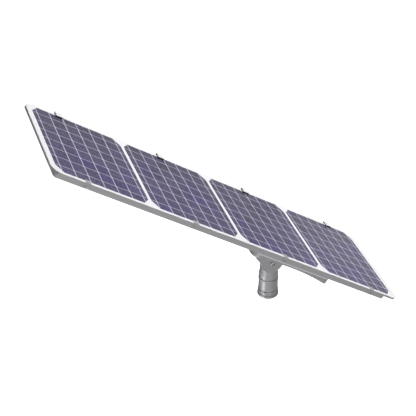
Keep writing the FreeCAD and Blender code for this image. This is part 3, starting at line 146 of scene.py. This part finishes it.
# Places on the lamp, in millimetres.  The head's own axes start at the pivot, with Z square
# to the deck and X along it.
PIVOT_HEIGHT = 178.0        # pivot above the spigot's foot
FACE = 131.2                # upper face of the deck
END_LIP = 2.6               # grey lip beyond the white face at the high end
PAINT_DROP = 0.25           # paint line below the upper face
PAINT_FADE = 0.15           # half the height over which one coat turns into the other
CLAMP_GAP = 50.0            # two clamps are always farther apart than this
FOOT_EDGE = 0.8             # rounding of the clamps' feet
LINE_FADE = 0.6             # half the soft edge of a printed line

# Surface patterns: how wide their blobs are, in millimetres.
PEEL = 3.0                  # orange peel of powder coat, in truth about 1 mm
COAT_CLOUD = 60.0           # slow change of tone over a coated sheet
CLAMP_CLOUD = 12.0          # the same over a clamp
CAST_CLOUD = 35.0           # the same over a casting
CAST_SKIN = 1.8             # sand-fine skin of a casting
ROLLING = 0.8               # lines along rolled steel
FLAKE = 5.0                 # flakes of the etched silicon, in truth under 1 mm
BLUE_PATCH = 170.0          # bluer patches over several cells
GLASS_TEXTURE = 2.5         # fine texture of the modules' glass
FLOW = 25.0                 # flow marks in moulded polycarbonate

# Mesh clean-up.
WELD = 1e-7                 # vertices nearer than this, in metres, are one
SHARP = math.radians(35)    # edges that bend more than this stay sharp

# The studio, in metres.
AIM = Vector((0, 0, 0.3))   # what all lights face
FLOOR_REACH = 40.0          # half the floor's side
LIGHTS = (                  # setting with the power, place, and spread: wide by high
    ("over", (1.6, 0.6, 3.2), (2.4, 2.4)),
    ("front", (-0.8, -3.7, 0.2), (1.6, 1.6)),
    ("left", (-3.0, 0.3, 0.6), (0.5, 2.4)),
    ("low", (-2.4, -0.5, -1.6), (0.6, 3.2)),
    ("back", (2.8, 2.1, -0.7), (1.4, 1.4)),
)


def srgb(code):
    """A hex colour as linear red, green and blue."""
    shares = [int(code[i:i + 2], 16) / 255 for i in (1, 3, 5)]
    return tuple(v / 12.92 if v <= 0.04045 else ((v + 0.055) / 1.055) ** 2.4 for v in shares)


def colour_setting(name, code, description):
    return bpy.props.FloatVectorProperty(
        name=name, description=description, subtype="COLOR", size=3,
        min=0.0, max=1.0, default=srgb(code))


def length_setting(name, millimetres, description):
    return bpy.props.FloatProperty(
        name=name, description=description, unit="LENGTH",
        min=0.0, default=millimetres * MM)


def power_setting(name, watts, description):
    return bpy.props.FloatProperty(
        name=name, description=description, unit="POWER", min=0.0, default=watts)


def share_setting(name, amount, description):
    return bpy.props.FloatProperty(
        name=name, description=description, min=0.0, default=amount)


def place_setting(name, metres, description):
    return bpy.props.FloatProperty(
        name=name, description=description, unit="LENGTH", default=metres)


def angle_setting(name, degrees, description):
    return bpy.props.FloatProperty(
        name=name, description=description, subtype="ANGLE", default=math.radians(degrees))


class ModuleSettings(bpy.types.PropertyGroup):
    """The printed grid and the colours of the solar modules."""

    cell: colour_setting("Cell", "#4C456A", "Silicon seen through the glass")
    cell_blue: colour_setting("Blue Cell", "#413C72", "Silicon in the bluer patches")
    # grey that some cells take by their hue, and painted sheen: the far side's cells turn towards it as the glass's
    # sheen would lift them
    grey_cell_and_sheen: colour_setting("Grey Cell", "#504D5E", "Silicon towards the far side")
    ribbon: colour_setting("Ribbon", "#D3CFE4", "Tinned ribbons along the strings")
    joint: colour_setting("Joint", "#C4C0D6", "Gaps between the cells of a string")
    column_pitch: length_setting("Column Pitch", 56.0, "Spacing of the ribbons")
    row_pitch: length_setting("Row Pitch", 57.04, "Spacing of the gaps")
    ribbon_width: length_setting("Ribbon Width", 3.2, "Width of a ribbon")
    joint_width: length_setting("Joint Width", 2.8, "Width of a gap between cells")
    cut_corner: length_setting("Cut Corner", 5.0, "Legs of the cut corners of a cell")
    row_shift: length_setting("Row Shift", 1.7, "Middle row line off the pivot's plane")


class FinishSettings(bpy.types.PropertyGroup):
    """The colours of the metal, rubber and plastic pieces that show."""

    white: colour_setting("White Coat", "#F7F7FA", "Powder coat on the deck's face")
    sheet_grey: colour_setting("Sheet Grey", "#A9A9AC", "Powder coat on the tray and the rim")
    cast_grey: colour_setting("Cast Grey", "#A8A8AB", "Paint on the castings")
    stainless: colour_setting("Stainless", "#B9B9BC", "Rolled stainless steel")
    rubber: colour_setting("Rubber", "#141416", "Feet under the clamps, and the button")
    seal: colour_setting("Seal", "#D8D8DA", "Silicone seal round the pod")
    clamp: colour_setting("Clamp", "#F2F2F4", "Powder coat on the far clamps")
    # painted shade: the darker grey given to the front faces of the far clamps, standing in for their shade
    front_shade: colour_setting("Cut Edge", "#6C6C6F", "Sheared front edge of the far clamps")
    foot_depth: length_setting("Foot Depth", 8.0, "Rubber strip in the mouth of a clamp")


class StudioSettings(bpy.types.PropertyGroup):
    """The camera, the floor and the lights."""

    camera_x: place_setting("Camera X", -1.391, "Place along the deck")
    camera_y: place_setting("Camera Y", -3.3244, "Place across the deck")
    camera_z: place_setting("Camera Z", 3.0394, "Height")
    pitch: angle_setting("Pitch", 36.09, "How far the camera looks down")
    heading: angle_setting("Heading", 18.893, "How far the camera looks to the right of Y")
    lens: bpy.props.FloatProperty(
        name="Lens", description="Focal length", unit="CAMERA", default=101.33)
    floor_drop: length_setting("Floor Drop", 1500.0, "Floor below the spigot")
    sky: share_setting("Sky", 0.12, "Strength of the even light from above")
    ground: share_setting("Ground", 0.51, "Strength of the even light from below")
    behind: share_setting("Behind", 0.25, "Share of the ground's light from behind")
    over: power_setting("Over", 126.0, "Large light over the deck")
    front: power_setting("Front", 46.0, "Light in front, lower than the deck")
    left: power_setting("Left", 4.0, "Tall strip on the left, which the pod's corner mirrors")
    low: power_setting("Low", 62.0, "Low light on the left, which the spigot mirrors")
    back: power_setting("Back", 3.3, "Low light behind, which the glass mirrors")


# ---- places ----------------------------------------------------------------------------

def lamp_tilt():
    """The tilt of the deck at rest, from the push switch's axis, which is the deck's own."""
    press = next(j for j in frame["joints"] if j["name"] == "switch_press")
    return math.atan2(press["axis"][0], press["axis"][2])


TILT = lamp_tilt()
HEAD = Matrix.Translation((0, 0, PIVOT_HEIGHT * MM)) @ Matrix.Rotation(TILT, 4, "Y")


def head_points(node):
    """A node's vertices in the head's own millimetres."""
    to_head = HEAD.inverted()
    return [tuple((to_head @ v.co) / MM) for v in frame["nodes"][node].data.vertices]


def head_span(node):
    """Lowest and highest X of a node in the head's own millimetres."""
    along = [point[0] for point in head_points(node)]
    return min(along), max(along)


def clusters(node, gap):
    """The node's separate copies along the deck, each as the low and high corner of its box
    in the head's own millimetres."""
    points = sorted(head_points(node))
    groups = [[points[0]]]
    for point in points[1:]:
        if point[0] - groups[-1][-1][0] > gap:
            groups.append([])
        groups[-1].append(point)
    return [(tuple(map(min, zip(*group))), tuple(map(max, zip(*group)))) for group in groups]


def in_head(bm):
    """Moves a mesh drawn in the head's own millimetres to its place on the lamp."""
    bm.transform(HEAD @ Matrix.Scale(MM, 4))


def new_piece(bm, name, material, body, slot):
    """A finished mesh object that rides on a body."""
    bmesh.ops.remove_doubles(bm, verts=bm.verts, dist=WELD)
    bmesh.ops.recalc_face_normals(bm, faces=bm.faces)
    mesh = bpy.data.meshes.new(name)
    bm.to_mesh(mesh)
    bm.free()
    mesh.shade_smooth()
    mesh.set_sharp_from_angle(angle=SHARP)
    piece = bpy.data.objects.new(name, mesh)
    bpy.context.scene.collection.objects.link(piece)
    mesh.materials.append(material)
    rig.ride(piece, body)
    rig.slot(piece, slot)
    return piece


def dress(material, *nodes):
    """Gives CAD nodes their finish."""
    for name in nodes:
        slots = frame["nodes"][name].data.materials
        slots.clear()
        slots.append(material)


# ---- shader nodes ----------------------------------------------------------------------

def add(tree, kind, settings, sockets):
    """One shader node; a socket takes a value or another node's output."""
    node = tree.nodes.new("ShaderNode" + kind)
    for name, value in settings.items():
        setattr(node, name, value)
    for name, value in sockets.items():
        if isinstance(value, bpy.types.NodeSocket):
            tree.links.new(value, node.inputs[name])
        else:
            node.inputs[name].default_value = value
    return node


def sum_of(tree, operation, *values, clamp=False):
    """The result of one sum on numbers."""
    node = add(tree, "Math", {"operation": operation, "use_clamp": clamp},
               dict(enumerate(values)))
    return node.outputs[0]


def ramp(tree, value, start, end, low=0.0, high=1.0, kind="SMOOTHSTEP"):
    """Goes from low to high while a value goes from start to end."""
    node = add(tree, "MapRange", {"interpolation_type": kind}, {
        "Value": value, "From Min": start, "From Max": end, "To Min": low, "To Max": high})
    return node.outputs["Result"]


def mixed(tree, factor, low, high):
    """One colour where factor is 0, the other where it is 1."""
    return add(tree, "Mix", {"data_type": "RGBA"}, {0: factor, 6: low, 7: high}).outputs[2]


def opaque(colour):
    return (*colour, 1.0)


def start_finish(name):
    """An empty material; returns it, its tree and the head's coordinates in millimetres."""
    material = bpy.data.materials.new(name)
    material.use_nodes = True
    tree = material.node_tree
    tree.nodes.clear()
    place = add(tree, "TexCoord", {}, {})
    turned = add(tree, "Mapping", {"vector_type": "POINT"}, {
        "Vector": place.outputs["Object"],
        "Scale": (1 / MM, 1 / MM, 1 / MM),
        "Rotation": (0.0, -TILT, 0.0),
        "Location": (PIVOT_HEIGHT * math.sin(TILT), 0.0, -PIVOT_HEIGHT * math.cos(TILT)),
    })
    return material, tree, turned.outputs["Vector"]


def end_finish(tree, sockets):
    """The surface shader and the output."""
    surface = add(tree, "BsdfPrincipled", {}, sockets)
    add(tree, "OutputMaterial", {}, {"Surface": surface.outputs["BSDF"]})


def grain(tree, point, size, stretch=(1.0, 1.0, 1.0), detail=2.0):
    """Noise whose blobs are about size millimetres across, from 0 to 1."""
    scaled = add(tree, "Mapping", {"vector_type": "POINT"}, {
        "Vector": point, "Scale": tuple(s / size for s in stretch)})
    noise = add(tree, "TexNoise", {"noise_dimensions": "3D"}, {
        "Vector": scaled.outputs["Vector"], "Scale": 1.0, "Detail": detail, "Roughness": 0.55})
    return noise.outputs["Fac"]


def tinted(tree, colour, amount, factor):
    """A colour that a 0 to 1 pattern makes a little darker or lighter."""
    low = tuple(c * (1 - amount) for c in colour)
    high = tuple(min(c * (1 + amount), 1.0) for c in colour)
    return mixed(tree, factor, opaque(low), opaque(high))


def bumped(tree, height, depth, strength):
    """A normal from a 0 to 1 height that is depth millimetres deep."""
    bump = add(tree, "Bump", {}, {"Height": height, "Distance": depth * MM, "Strength": strength})
    return bump.outputs["Normal"]


# ---- finishes --------------------------------------------------------------------------

def powder_coat(name, colour):
    """Polyester powder coat, baked: an even satin skin with a fine orange peel, drawn as
    coarse as the picture shows."""
    material, tree, point = start_finish(name)
    end_finish(tree, {
        "Base Color": tinted(tree, colour, 0.03, grain(tree, point, COAT_CLOUD)),
        "Roughness": 0.42, "IOR": 1.5,
        "Normal": bumped(tree, grain(tree, point, PEEL), 0.05, 0.5)})
    return material


def clamp_coat_with_front_shade(white, front_shade_colour):
    """White coated spring steel.  The faces turned to the front, toward -Y, take a darker grey:
    painted shade on the front of the clamps, in the colour of uncoated steel."""
    material, tree, point = start_finish("White coated clamp steel")
    facing = add(tree, "TexCoord", {}, {})
    split = add(tree, "SeparateXYZ", {}, {"Vector": facing.outputs["Normal"]})
    # painted shade: faces whose normal points to the front (-Y) take the darker grey
    front_shade_mask = ramp(tree, split.outputs["Y"], -0.9, -0.7, 1.0, 0.0)
    cloud = grain(tree, point, CLAMP_CLOUD)
    coat = tinted(tree, white, 0.02, cloud)
    # the darker grey of the painted shade on the front faces
    metal = tinted(tree, front_shade_colour, 0.05, cloud)
    end_finish(tree, {
        "Base Color": mixed(tree, front_shade_mask, coat, metal), "Roughness": 0.42,
        "Normal": bumped(tree, grain(tree, point, PEEL), 0.04, 0.4)})
    return material


def cast_paint(name, colour):
    """Painted die-cast aluminium: the sand-fine skin of the casting still shows, and the
    paint's satin gives a broad soft highlight."""
    material, tree, point = start_finish(name)
    end_finish(tree, {
        "Base Color": tinted(tree, colour, 0.05, grain(tree, point, CAST_CLOUD)),
        "Metallic": 0.5, "Roughness": 0.5,
        "Normal": bumped(tree, grain(tree, point, CAST_SKIN, detail=4.0), 0.08, 0.5)})
    return material


def deck_coat(white, grey):
    """The deck's two coats: white on the face, and the tray's grey on the rim and below.
    The line between them runs just under the rounded upper edge, and just inside it along
    the high end."""
    material, tree, point = start_finish("White and grey powder coat")
    split = add(tree, "SeparateXYZ", {}, {"Vector": point})
    paint_line = FACE - PAINT_DROP
    on_top = ramp(tree, split.outputs["Z"], paint_line - PAINT_FADE, paint_line + PAINT_FADE)
    high_end = head_span("deck_plate")[0] + END_LIP
    inside = ramp(tree, split.outputs["X"],
                  high_end - 2 * PAINT_FADE, high_end + 2 * PAINT_FADE)
    painted = sum_of(tree, "MULTIPLY", on_top, inside)
    cloud = grain(tree, point, COAT_CLOUD)
    rim = tinted(tree, grey, 0.03, cloud)
    face = tinted(tree, white, 0.01, cloud)
    end_finish(tree, {
        "Base Color": mixed(tree, painted, rim, face), "Roughness": 0.4, "IOR": 1.5,
        "Normal": bumped(tree, grain(tree, point, PEEL), 0.04, 0.4)})
    return material


def line_distance(tree, along, spacing):
    """How far along is from the nearest multiple of spacing."""
    return sum_of(tree, "PINGPONG", along, spacing / 2)


def within(tree, distance, reach):
    """1 where a distance is under reach and 0 beyond it; all in millimetres."""
    return ramp(tree, distance, reach - LINE_FADE, reach + LINE_FADE, 1.0, 0.0)


def cell_lines(tree, along, across, settings):
    """Where the bright ribbons and cut corners are, and where the fainter gaps are."""
    from_ribbon = line_distance(tree, along, settings.column_pitch / MM)
    from_joint = line_distance(tree, across, settings.row_pitch / MM)
    ribbons = within(tree, from_ribbon, settings.ribbon_width / MM / 2)
    joints = within(tree, from_joint, settings.joint_width / MM / 2)
    from_corner = sum_of(tree, "ADD", from_ribbon, from_joint)
    corners = within(tree, from_corner, settings.cut_corner / MM)
    return sum_of(tree, "MAXIMUM", ribbons, corners), joints


def cell_chances(tree, along, across, settings, number):
    """Two numbers from 0 to 1 that change from cell to cell and from module to module."""
    grid = add(tree, "CombineXYZ", {}, {"X": along, "Y": across})
    steps = add(tree, "VectorMath", {"operation": "DIVIDE"}, {
        0: grid.outputs["Vector"],
        1: (settings.column_pitch / MM, settings.row_pitch / MM, 1.0)})
    cell = add(tree, "VectorMath", {"operation": "FLOOR"}, {0: steps.outputs[0]})
    own = add(tree, "VectorMath", {"operation": "ADD"}, {
        0: cell.outputs[0], 1: (0.5, 0.5, 10.0 * number)})
    noise = add(tree, "TexWhiteNoise", {"noise_dimensions": "3D"}, {"Vector": own.outputs[0]})
    chances = add(tree, "SeparateColor", {"mode": "RGB"}, {"Color": noise.outputs["Color"]})
    return chances.outputs["Red"], chances.outputs["Green"]


def silicon(tree, point, far_side, tone, hue, settings):
    """The cells' colour: violet-grey, bluer in patches, greyer by a cell's hue, lighter or darker by
    its tone, and speckled by the flakes.  Greyer towards the far side too: painted sheen of the glass."""
    patches = grain(tree, point, BLUE_PATCH, detail=1.0)
    blue = ramp(tree, patches, 0.5, 0.68, 0.0, 0.75)
    # painted sheen: the cells turn greyer towards the far side, standing in for the glass's sheen there
    far = ramp(tree, far_side, -120.0, 220.0, -0.2, 0.6, "LINEAR")
    greyer = sum_of(tree, "MULTIPLY_ADD", hue, 0.3, far, clamp=True)
    base = mixed(tree, blue, opaque(settings.cell), opaque(settings.cell_blue))
    base = mixed(tree, greyer, base, opaque(settings.grey_cell_and_sheen))
    flake_point = add(tree, "Mapping", {"vector_type": "POINT"}, {
        "Vector": point, "Scale": (1 / FLAKE, 1 / FLAKE, 1 / FLAKE)})
    flakes = add(tree, "TexVoronoi", {"voronoi_dimensions": "2D", "feature": "F1"}, {
        "Vector": flake_point.outputs["Vector"], "Scale": 1.0})
    flake = add(tree, "SeparateColor", {"mode": "RGB"}, {"Color": flakes.outputs["Color"]})
    speckle = sum_of(tree, "ADD", flake.outputs["Red"], 0.5)
    shade = sum_of(tree, "MULTIPLY_ADD", tone, 0.2, 0.9)
    light = sum_of(tree, "MULTIPLY", speckle, shade)
    return add(tree, "VectorMath", {"operation": "SCALE"}, {0: base, "Scale": light}).outputs[0]


def solar_laminate(number, middle, settings):
    """Silicon cells under tempered low-iron glass: violet-grey, with cut corners, and each
    cell a little bluer or greyer than the next; tinned ribbons along the strings, fainter
    gaps across them, and the soft sheen of the glass's fine texture.  The speckle of the
    etched silicon is drawn coarser than it is, so that the picture shows it."""
    material, tree, point = start_finish("Solar laminate, module %d" % number)
    split = add(tree, "SeparateXYZ", {}, {"Vector": point})
    across = sum_of(tree, "ADD", split.outputs["Y"], settings.row_shift / MM)
    along = sum_of(tree, "SUBTRACT", split.outputs["X"], middle)
    bright, joints = cell_lines(tree, along, across, settings)
    tone, hue = cell_chances(tree, along, across, settings, number)
    cells = silicon(tree, point, split.outputs["Y"], tone, hue, settings)
    with_joints = mixed(tree, joints, cells, opaque(settings.joint))
    end_finish(tree, {
        "Base Color": mixed(tree, bright, with_joints, opaque(settings.ribbon)),
        "Roughness": 0.5, "IOR": 1.5,
        "Coat Weight": 0.35, "Coat Roughness": 0.25, "Coat IOR": 1.5,
        "Coat Normal": bumped(tree, grain(tree, point, GLASS_TEXTURE), 0.03, 0.4)})
    return material


def stainless(colour):
    """Rolled stainless steel: faint lines along the rolling, which spread its shine."""
    material, tree, point = start_finish("Rolled stainless steel")
    lines = grain(tree, point, ROLLING, stretch=(0.08, 1.0, 1.0), detail=3.0)
    end_finish(tree, {
        "Base Color": tinted(tree, colour, 0.06, lines),
        "Metallic": 1.0, "Roughness": 0.38,
        "Normal": bumped(tree, lines, 0.02, 0.4)})
    return material


def plain(name, colour, roughness, size=12.0, metallic=0.0):
    """An even moulded or stamped finish with a slight cloudiness, size millimetres wide."""
    material, tree, point = start_finish(name)
    cloud = grain(tree, point, size)
    end_finish(tree, {
        "Base Color": tinted(tree, colour, 0.05, cloud),
        "Roughness": roughness, "Metallic": metallic,
        "Normal": bumped(tree, cloud, 0.03, 0.3)})
    return material


def clear_plastic(colour):
    """Moulded optical polycarbonate: clear, with a polished face."""
    material, tree, point = start_finish("Clear polycarbonate")
    end_finish(tree, {
        "Base Color": tinted(tree, colour, 0.02, grain(tree, point, FLOW)),
        "Roughness": 0.08, "IOR": 1.585, "Transmission Weight": 0.9})
    return material


# ---- operators -------------------------------------------------------------------------

class LAMP_OT_modules(bpy.types.Operator):
    """Gives each solar module its cells, ribbons and glass"""

    bl_idname = "lamp.modules"
    bl_label = "Solar Modules"

    def execute(self, context):
        for number in range(1, MODULES + 1):
            node = "solar_module_%d" % number
            middle = sum(head_span(node)) / 2
            dress(solar_laminate(number, middle, context.scene.lamp_modules), node)
        return {"FINISHED"}


class LAMP_OT_deck(bpy.types.Operator):
    """Coats the deck, the tray and what lies between them"""

    bl_idname = "lamp.deck"
    bl_label = "Deck and Tray"

    def execute(self, context):
        finish = context.scene.lamp_finish
        dress(deck_coat(finish.white, finish.sheet_grey), "deck_plate")
        dress(powder_coat("Grey powder coat", finish.sheet_grey), "tray")
        dress(plain("Folded mill aluminium", srgb("#B4B4B6"), 0.4, metallic=1.0), "cross_ribs")
        dress(plain("Black polyphenylene", srgb("#141415"), 0.5), "junction_boxes")
        return {"FINISHED"}


def clamp_feet(material, depth):
    """The rubber strips in the mouths of the far clamps, rounded all round.  They stand for
    the CAD pads and start where those do, but only depth millimetres of them is drawn."""
    bm = bmesh.new()
    for low, high in clusters("clamp_pads", CLAMP_GAP):
        size = Vector((high[0] - low[0], depth, high[2] - low[2]))
        made = bmesh.ops.create_cube(bm, size=1.0)
        bmesh.ops.scale(bm, vec=size, verts=made["verts"])
        bmesh.ops.translate(bm, vec=Vector(low) + size / 2, verts=made["verts"])
    bmesh.ops.bevel(bm, geom=bm.edges[:], offset=FOOT_EDGE, segments=3, profile=0.5,
                    affect="EDGES", material=-1)
    in_head(bm)
    piece = new_piece(bm, "clamp_feet", material, "head", "clamp_pads")
    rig.replaces(piece, "clamp_pads")


class LAMP_OT_clips(bpy.types.Operator):
    """Finishes the clips, the rubber feet, the pod's seal and the steel fittings"""

    bl_idname = "lamp.clips"
    bl_label = "Clips and Fittings"

    def execute(self, context):
        finish = context.scene.lamp_finish
        rubber = plain("Moulded rubber", finish.rubber, 0.75, size=4.0)
        dress(powder_coat("Grey coated clip steel", finish.sheet_grey), "near_tabs")
        # white coat, with painted shade on the faces turned to the front
        dress(clamp_coat_with_front_shade(finish.clamp, finish.front_shade), "far_clamps")
        dress(rubber, "clamp_pads", "switch_button")
        clamp_feet(rubber, finish.foot_depth / MM)
        dress(plain("Grey silicone seal", finish.seal, 0.55), "pod_gasket")
        dress(stainless(finish.stainless), "side_screws", "pod_screws", "housing_bolts",
              "bezel_screws", "bracket_bolts", "pivot_bolt", "pivot_nut", "pivot_washers",
              "set_screws", "switch_body", "switch_nut")
        return {"FINISHED"}


class LAMP_OT_castings(bpy.types.Operator):
    """Paints the pod, the lens's bezel, the bracket and the spigot"""

    bl_idname = "lamp.castings"
    bl_label = "Castings"

    def execute(self, context):
        finish = context.scene.lamp_finish
        paint = cast_paint("Painted die-cast aluminium", finish.cast_grey)
        dress(paint, "pod_housing", "pod_base", "lens_bezel", "bracket", "spigot")
        dress(plain("Woven friction lining", srgb("#3A322A"), 0.8, size=2.0), "friction_discs")
        return {"FINISHED"}


class LAMP_OT_lamp(bpy.types.Operator):
    """Finishes the lenses, the light sources, and the signal light and vent beside them"""

    bl_idname = "lamp.lamp"
    bl_label = "Lamp"

    def execute(self, context):
        dress(clear_plastic(srgb("#F0F4F5")), "lens_plate")
        dress(plain("White solder mask", srgb("#E8E8E4"), 0.35), "led_board")
        dress(plain("Yellow phosphor", srgb("#E6C23C"), 0.45), "led_chips")
        dress(plain("Grey silicone", srgb("#9A9A9C"), 0.6), "lens_seal")
        dress(plain("Red signal lens", srgb("#8E1A12"), 0.2), "charge_light")
        dress(plain("Black nylon", srgb("#161617"), 0.55), "vent_plug")
        return {"FINISHED"}


class LAMP_OT_inside(bpy.types.Operator):
    """Finishes the battery and the controller inside the pod"""

    bl_idname = "lamp.inside"
    bl_label = "Battery and Controller"

    def execute(self, context):
        dress(plain("Black ABS", srgb("#1B1B1C"), 0.5), "cell_tray", "cell_clamp")
        dress(plain("Blue shrink sleeve", srgb("#1F4E9A"), 0.3), "battery_cells")
        dress(plain("Green solder mask", srgb("#14502C"), 0.35), "controller_board")
        dress(plain("Epoxy and ferrite", srgb("#1C1C1E"), 0.5), "controller_parts")
        dress(plain("Turned brass", srgb("#B8975A"), 0.35, metallic=1.0), "board_posts")
        return {"FINISHED"}


class LAMP_OT_studio(bpy.types.Operator):
    """Sets up the floor, the soft light and the camera"""

    bl_idname = "lamp.studio"
    bl_label = "Studio"

    def execute(self, context):
        studio = context.scene.lamp_studio
        context.scene.view_settings.view_transform = "Standard"
        self.lay_floor(studio)
        self.fill_sky(studio)
        for name, place, spread in LIGHTS:
            self.hang_light("light_" + name, place, spread, getattr(studio, name))
        self.place_camera(studio)
        return {"FINISHED"}

    def lay_floor(self, studio):
        """A plain white floor that glows, so that it comes out even, and that neither lights
        the lamp nor shows in its reflections."""
        bm = bmesh.new()
        bmesh.ops.create_grid(bm, x_segments=4, y_segments=4, size=FLOOR_REACH)
        bm.transform(Matrix.Translation((0, 0, -studio.floor_drop)))
        mesh = bpy.data.meshes.new("studio_floor")
        bm.to_mesh(mesh)
        bm.free()
        floor = bpy.data.objects.new("studio_floor", mesh)
        bpy.context.scene.collection.objects.link(floor)
        material = bpy.data.materials.new("Matt white paper")
        material.use_nodes = True
        tree = material.node_tree
        tree.nodes.clear()
        end_finish(tree, {
            "Base Color": (0.8, 0.8, 0.8, 1.0), "Roughness": 1.0,
            "Emission Color": (1.0, 1.0, 1.0, 1.0), "Emission Strength": 1.0})
        mesh.materials.append(material)
        floor.visible_diffuse = False
        floor.visible_glossy = False
        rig.stage(floor)

    def fill_sky(self, studio):
        """Even light, stronger from below the horizon, as a pale floor throws it back, and
        weaker low behind the lamp, which gives round pieces their darker outlines."""
        world = bpy.data.worlds.new("studio_world")
        bpy.context.scene.world = world
        world.use_nodes = True
        tree = world.node_tree
        tree.nodes.clear()
        place = add(tree, "TexCoord", {}, {})
        split = add(tree, "SeparateXYZ", {}, {"Vector": place.outputs["Generated"]})
        away, height = split.outputs["Y"], split.outputs["Z"]
        strength = ramp(tree, height, -0.3, 0.1, studio.ground, studio.sky)
        behind = ramp(tree, away, 0.1, 0.7)
        deep = ramp(tree, height, -0.5, -0.2, 1.0, 0.0)
        low_behind = sum_of(tree, "MULTIPLY", behind, deep)
        share = ramp(tree, low_behind, 0.0, 1.0, 1.0, studio.behind, "LINEAR")
        level = sum_of(tree, "MULTIPLY", strength, share)
        light = add(tree, "Background", {}, {
            "Color": (1.0, 1.0, 1.0, 1.0), "Strength": level})
        add(tree, "OutputWorld", {}, {"Surface": light.outputs["Background"]})

    def hang_light(self, name, place, spread, power):
        """A soft light that faces the lamp, and that the camera doesn't see."""
        data = bpy.data.lights.new(name, "AREA")
        data.shape = "RECTANGLE"
        data.size, data.size_y = spread
        data.energy = power
        light = bpy.data.objects.new(name, data)
        light.location = place
        light.rotation_euler = (AIM - Vector(place)).to_track_quat("-Z", "Y").to_euler()
        light.visible_camera = False
        bpy.context.scene.collection.objects.link(light)

    def place_camera(self, studio):
        """The photograph's own view, found from the deck's edges."""
        data = bpy.data.cameras.new("camera")
        data.lens = studio.lens
        data.sensor_width = 36.0
        data.clip_end = 200.0
        camera = bpy.data.objects.new("camera", data)
        camera.location = (studio.camera_x, studio.camera_y, studio.camera_z)
        camera.rotation_euler = (math.pi / 2 - studio.pitch, 0.0, -studio.heading)
        bpy.context.scene.collection.objects.link(camera)
        bpy.context.scene.camera = camera


OPERATORS = (
    LAMP_OT_modules, LAMP_OT_deck, LAMP_OT_clips, LAMP_OT_castings,
    LAMP_OT_lamp, LAMP_OT_inside, LAMP_OT_studio,
)


class LAMP_PT_panel(bpy.types.Panel):
    """Shows the settings, and a button for each group of pieces"""

    bl_idname = "LAMP_PT_panel"
    bl_label = "Solar Street Lamp"
    bl_space_type = "VIEW_3D"
    bl_region_type = "UI"
    bl_category = "Lamp"

    def draw(self, context):
        for group in ("lamp_modules", "lamp_finish", "lamp_studio"):
            settings = getattr(context.scene, group)
            box = self.layout.box()
            for name in settings.__annotations__:
                box.prop(settings, name)
        for operator in OPERATORS:
            self.layout.operator(operator.bl_idname)


CLASSES = (ModuleSettings, FinishSettings, StudioSettings, *OPERATORS, LAMP_PT_panel)


def register():
    for cls in CLASSES:
        bpy.utils.register_class(cls)
    bpy.types.Scene.lamp_modules = bpy.props.PointerProperty(type=ModuleSettings)
    bpy.types.Scene.lamp_finish = bpy.props.PointerProperty(type=FinishSettings)
    bpy.types.Scene.lamp_studio = bpy.props.PointerProperty(type=StudioSettings)


def unregister():
    del bpy.types.Scene.lamp_studio
    del bpy.types.Scene.lamp_finish
    del bpy.types.Scene.lamp_modules
    for cls in reversed(CLASSES):
        bpy.utils.unregister_class(cls)


def main():
    register()
    bpy.ops.lamp.modules()
    bpy.ops.lamp.deck()
    bpy.ops.lamp.clips()
    bpy.ops.lamp.castings()
    bpy.ops.lamp.lamp()
    bpy.ops.lamp.inside()
    bpy.ops.lamp.studio()
    visual_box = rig.bounds()
    with open("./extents.json", "w") as out:
        json.dump({
            "cad": [list(corner) for corner in cad_box],
            "visual": [list(corner) for corner in visual_box],
        }, out)


if __name__ == "__main__":
    main()
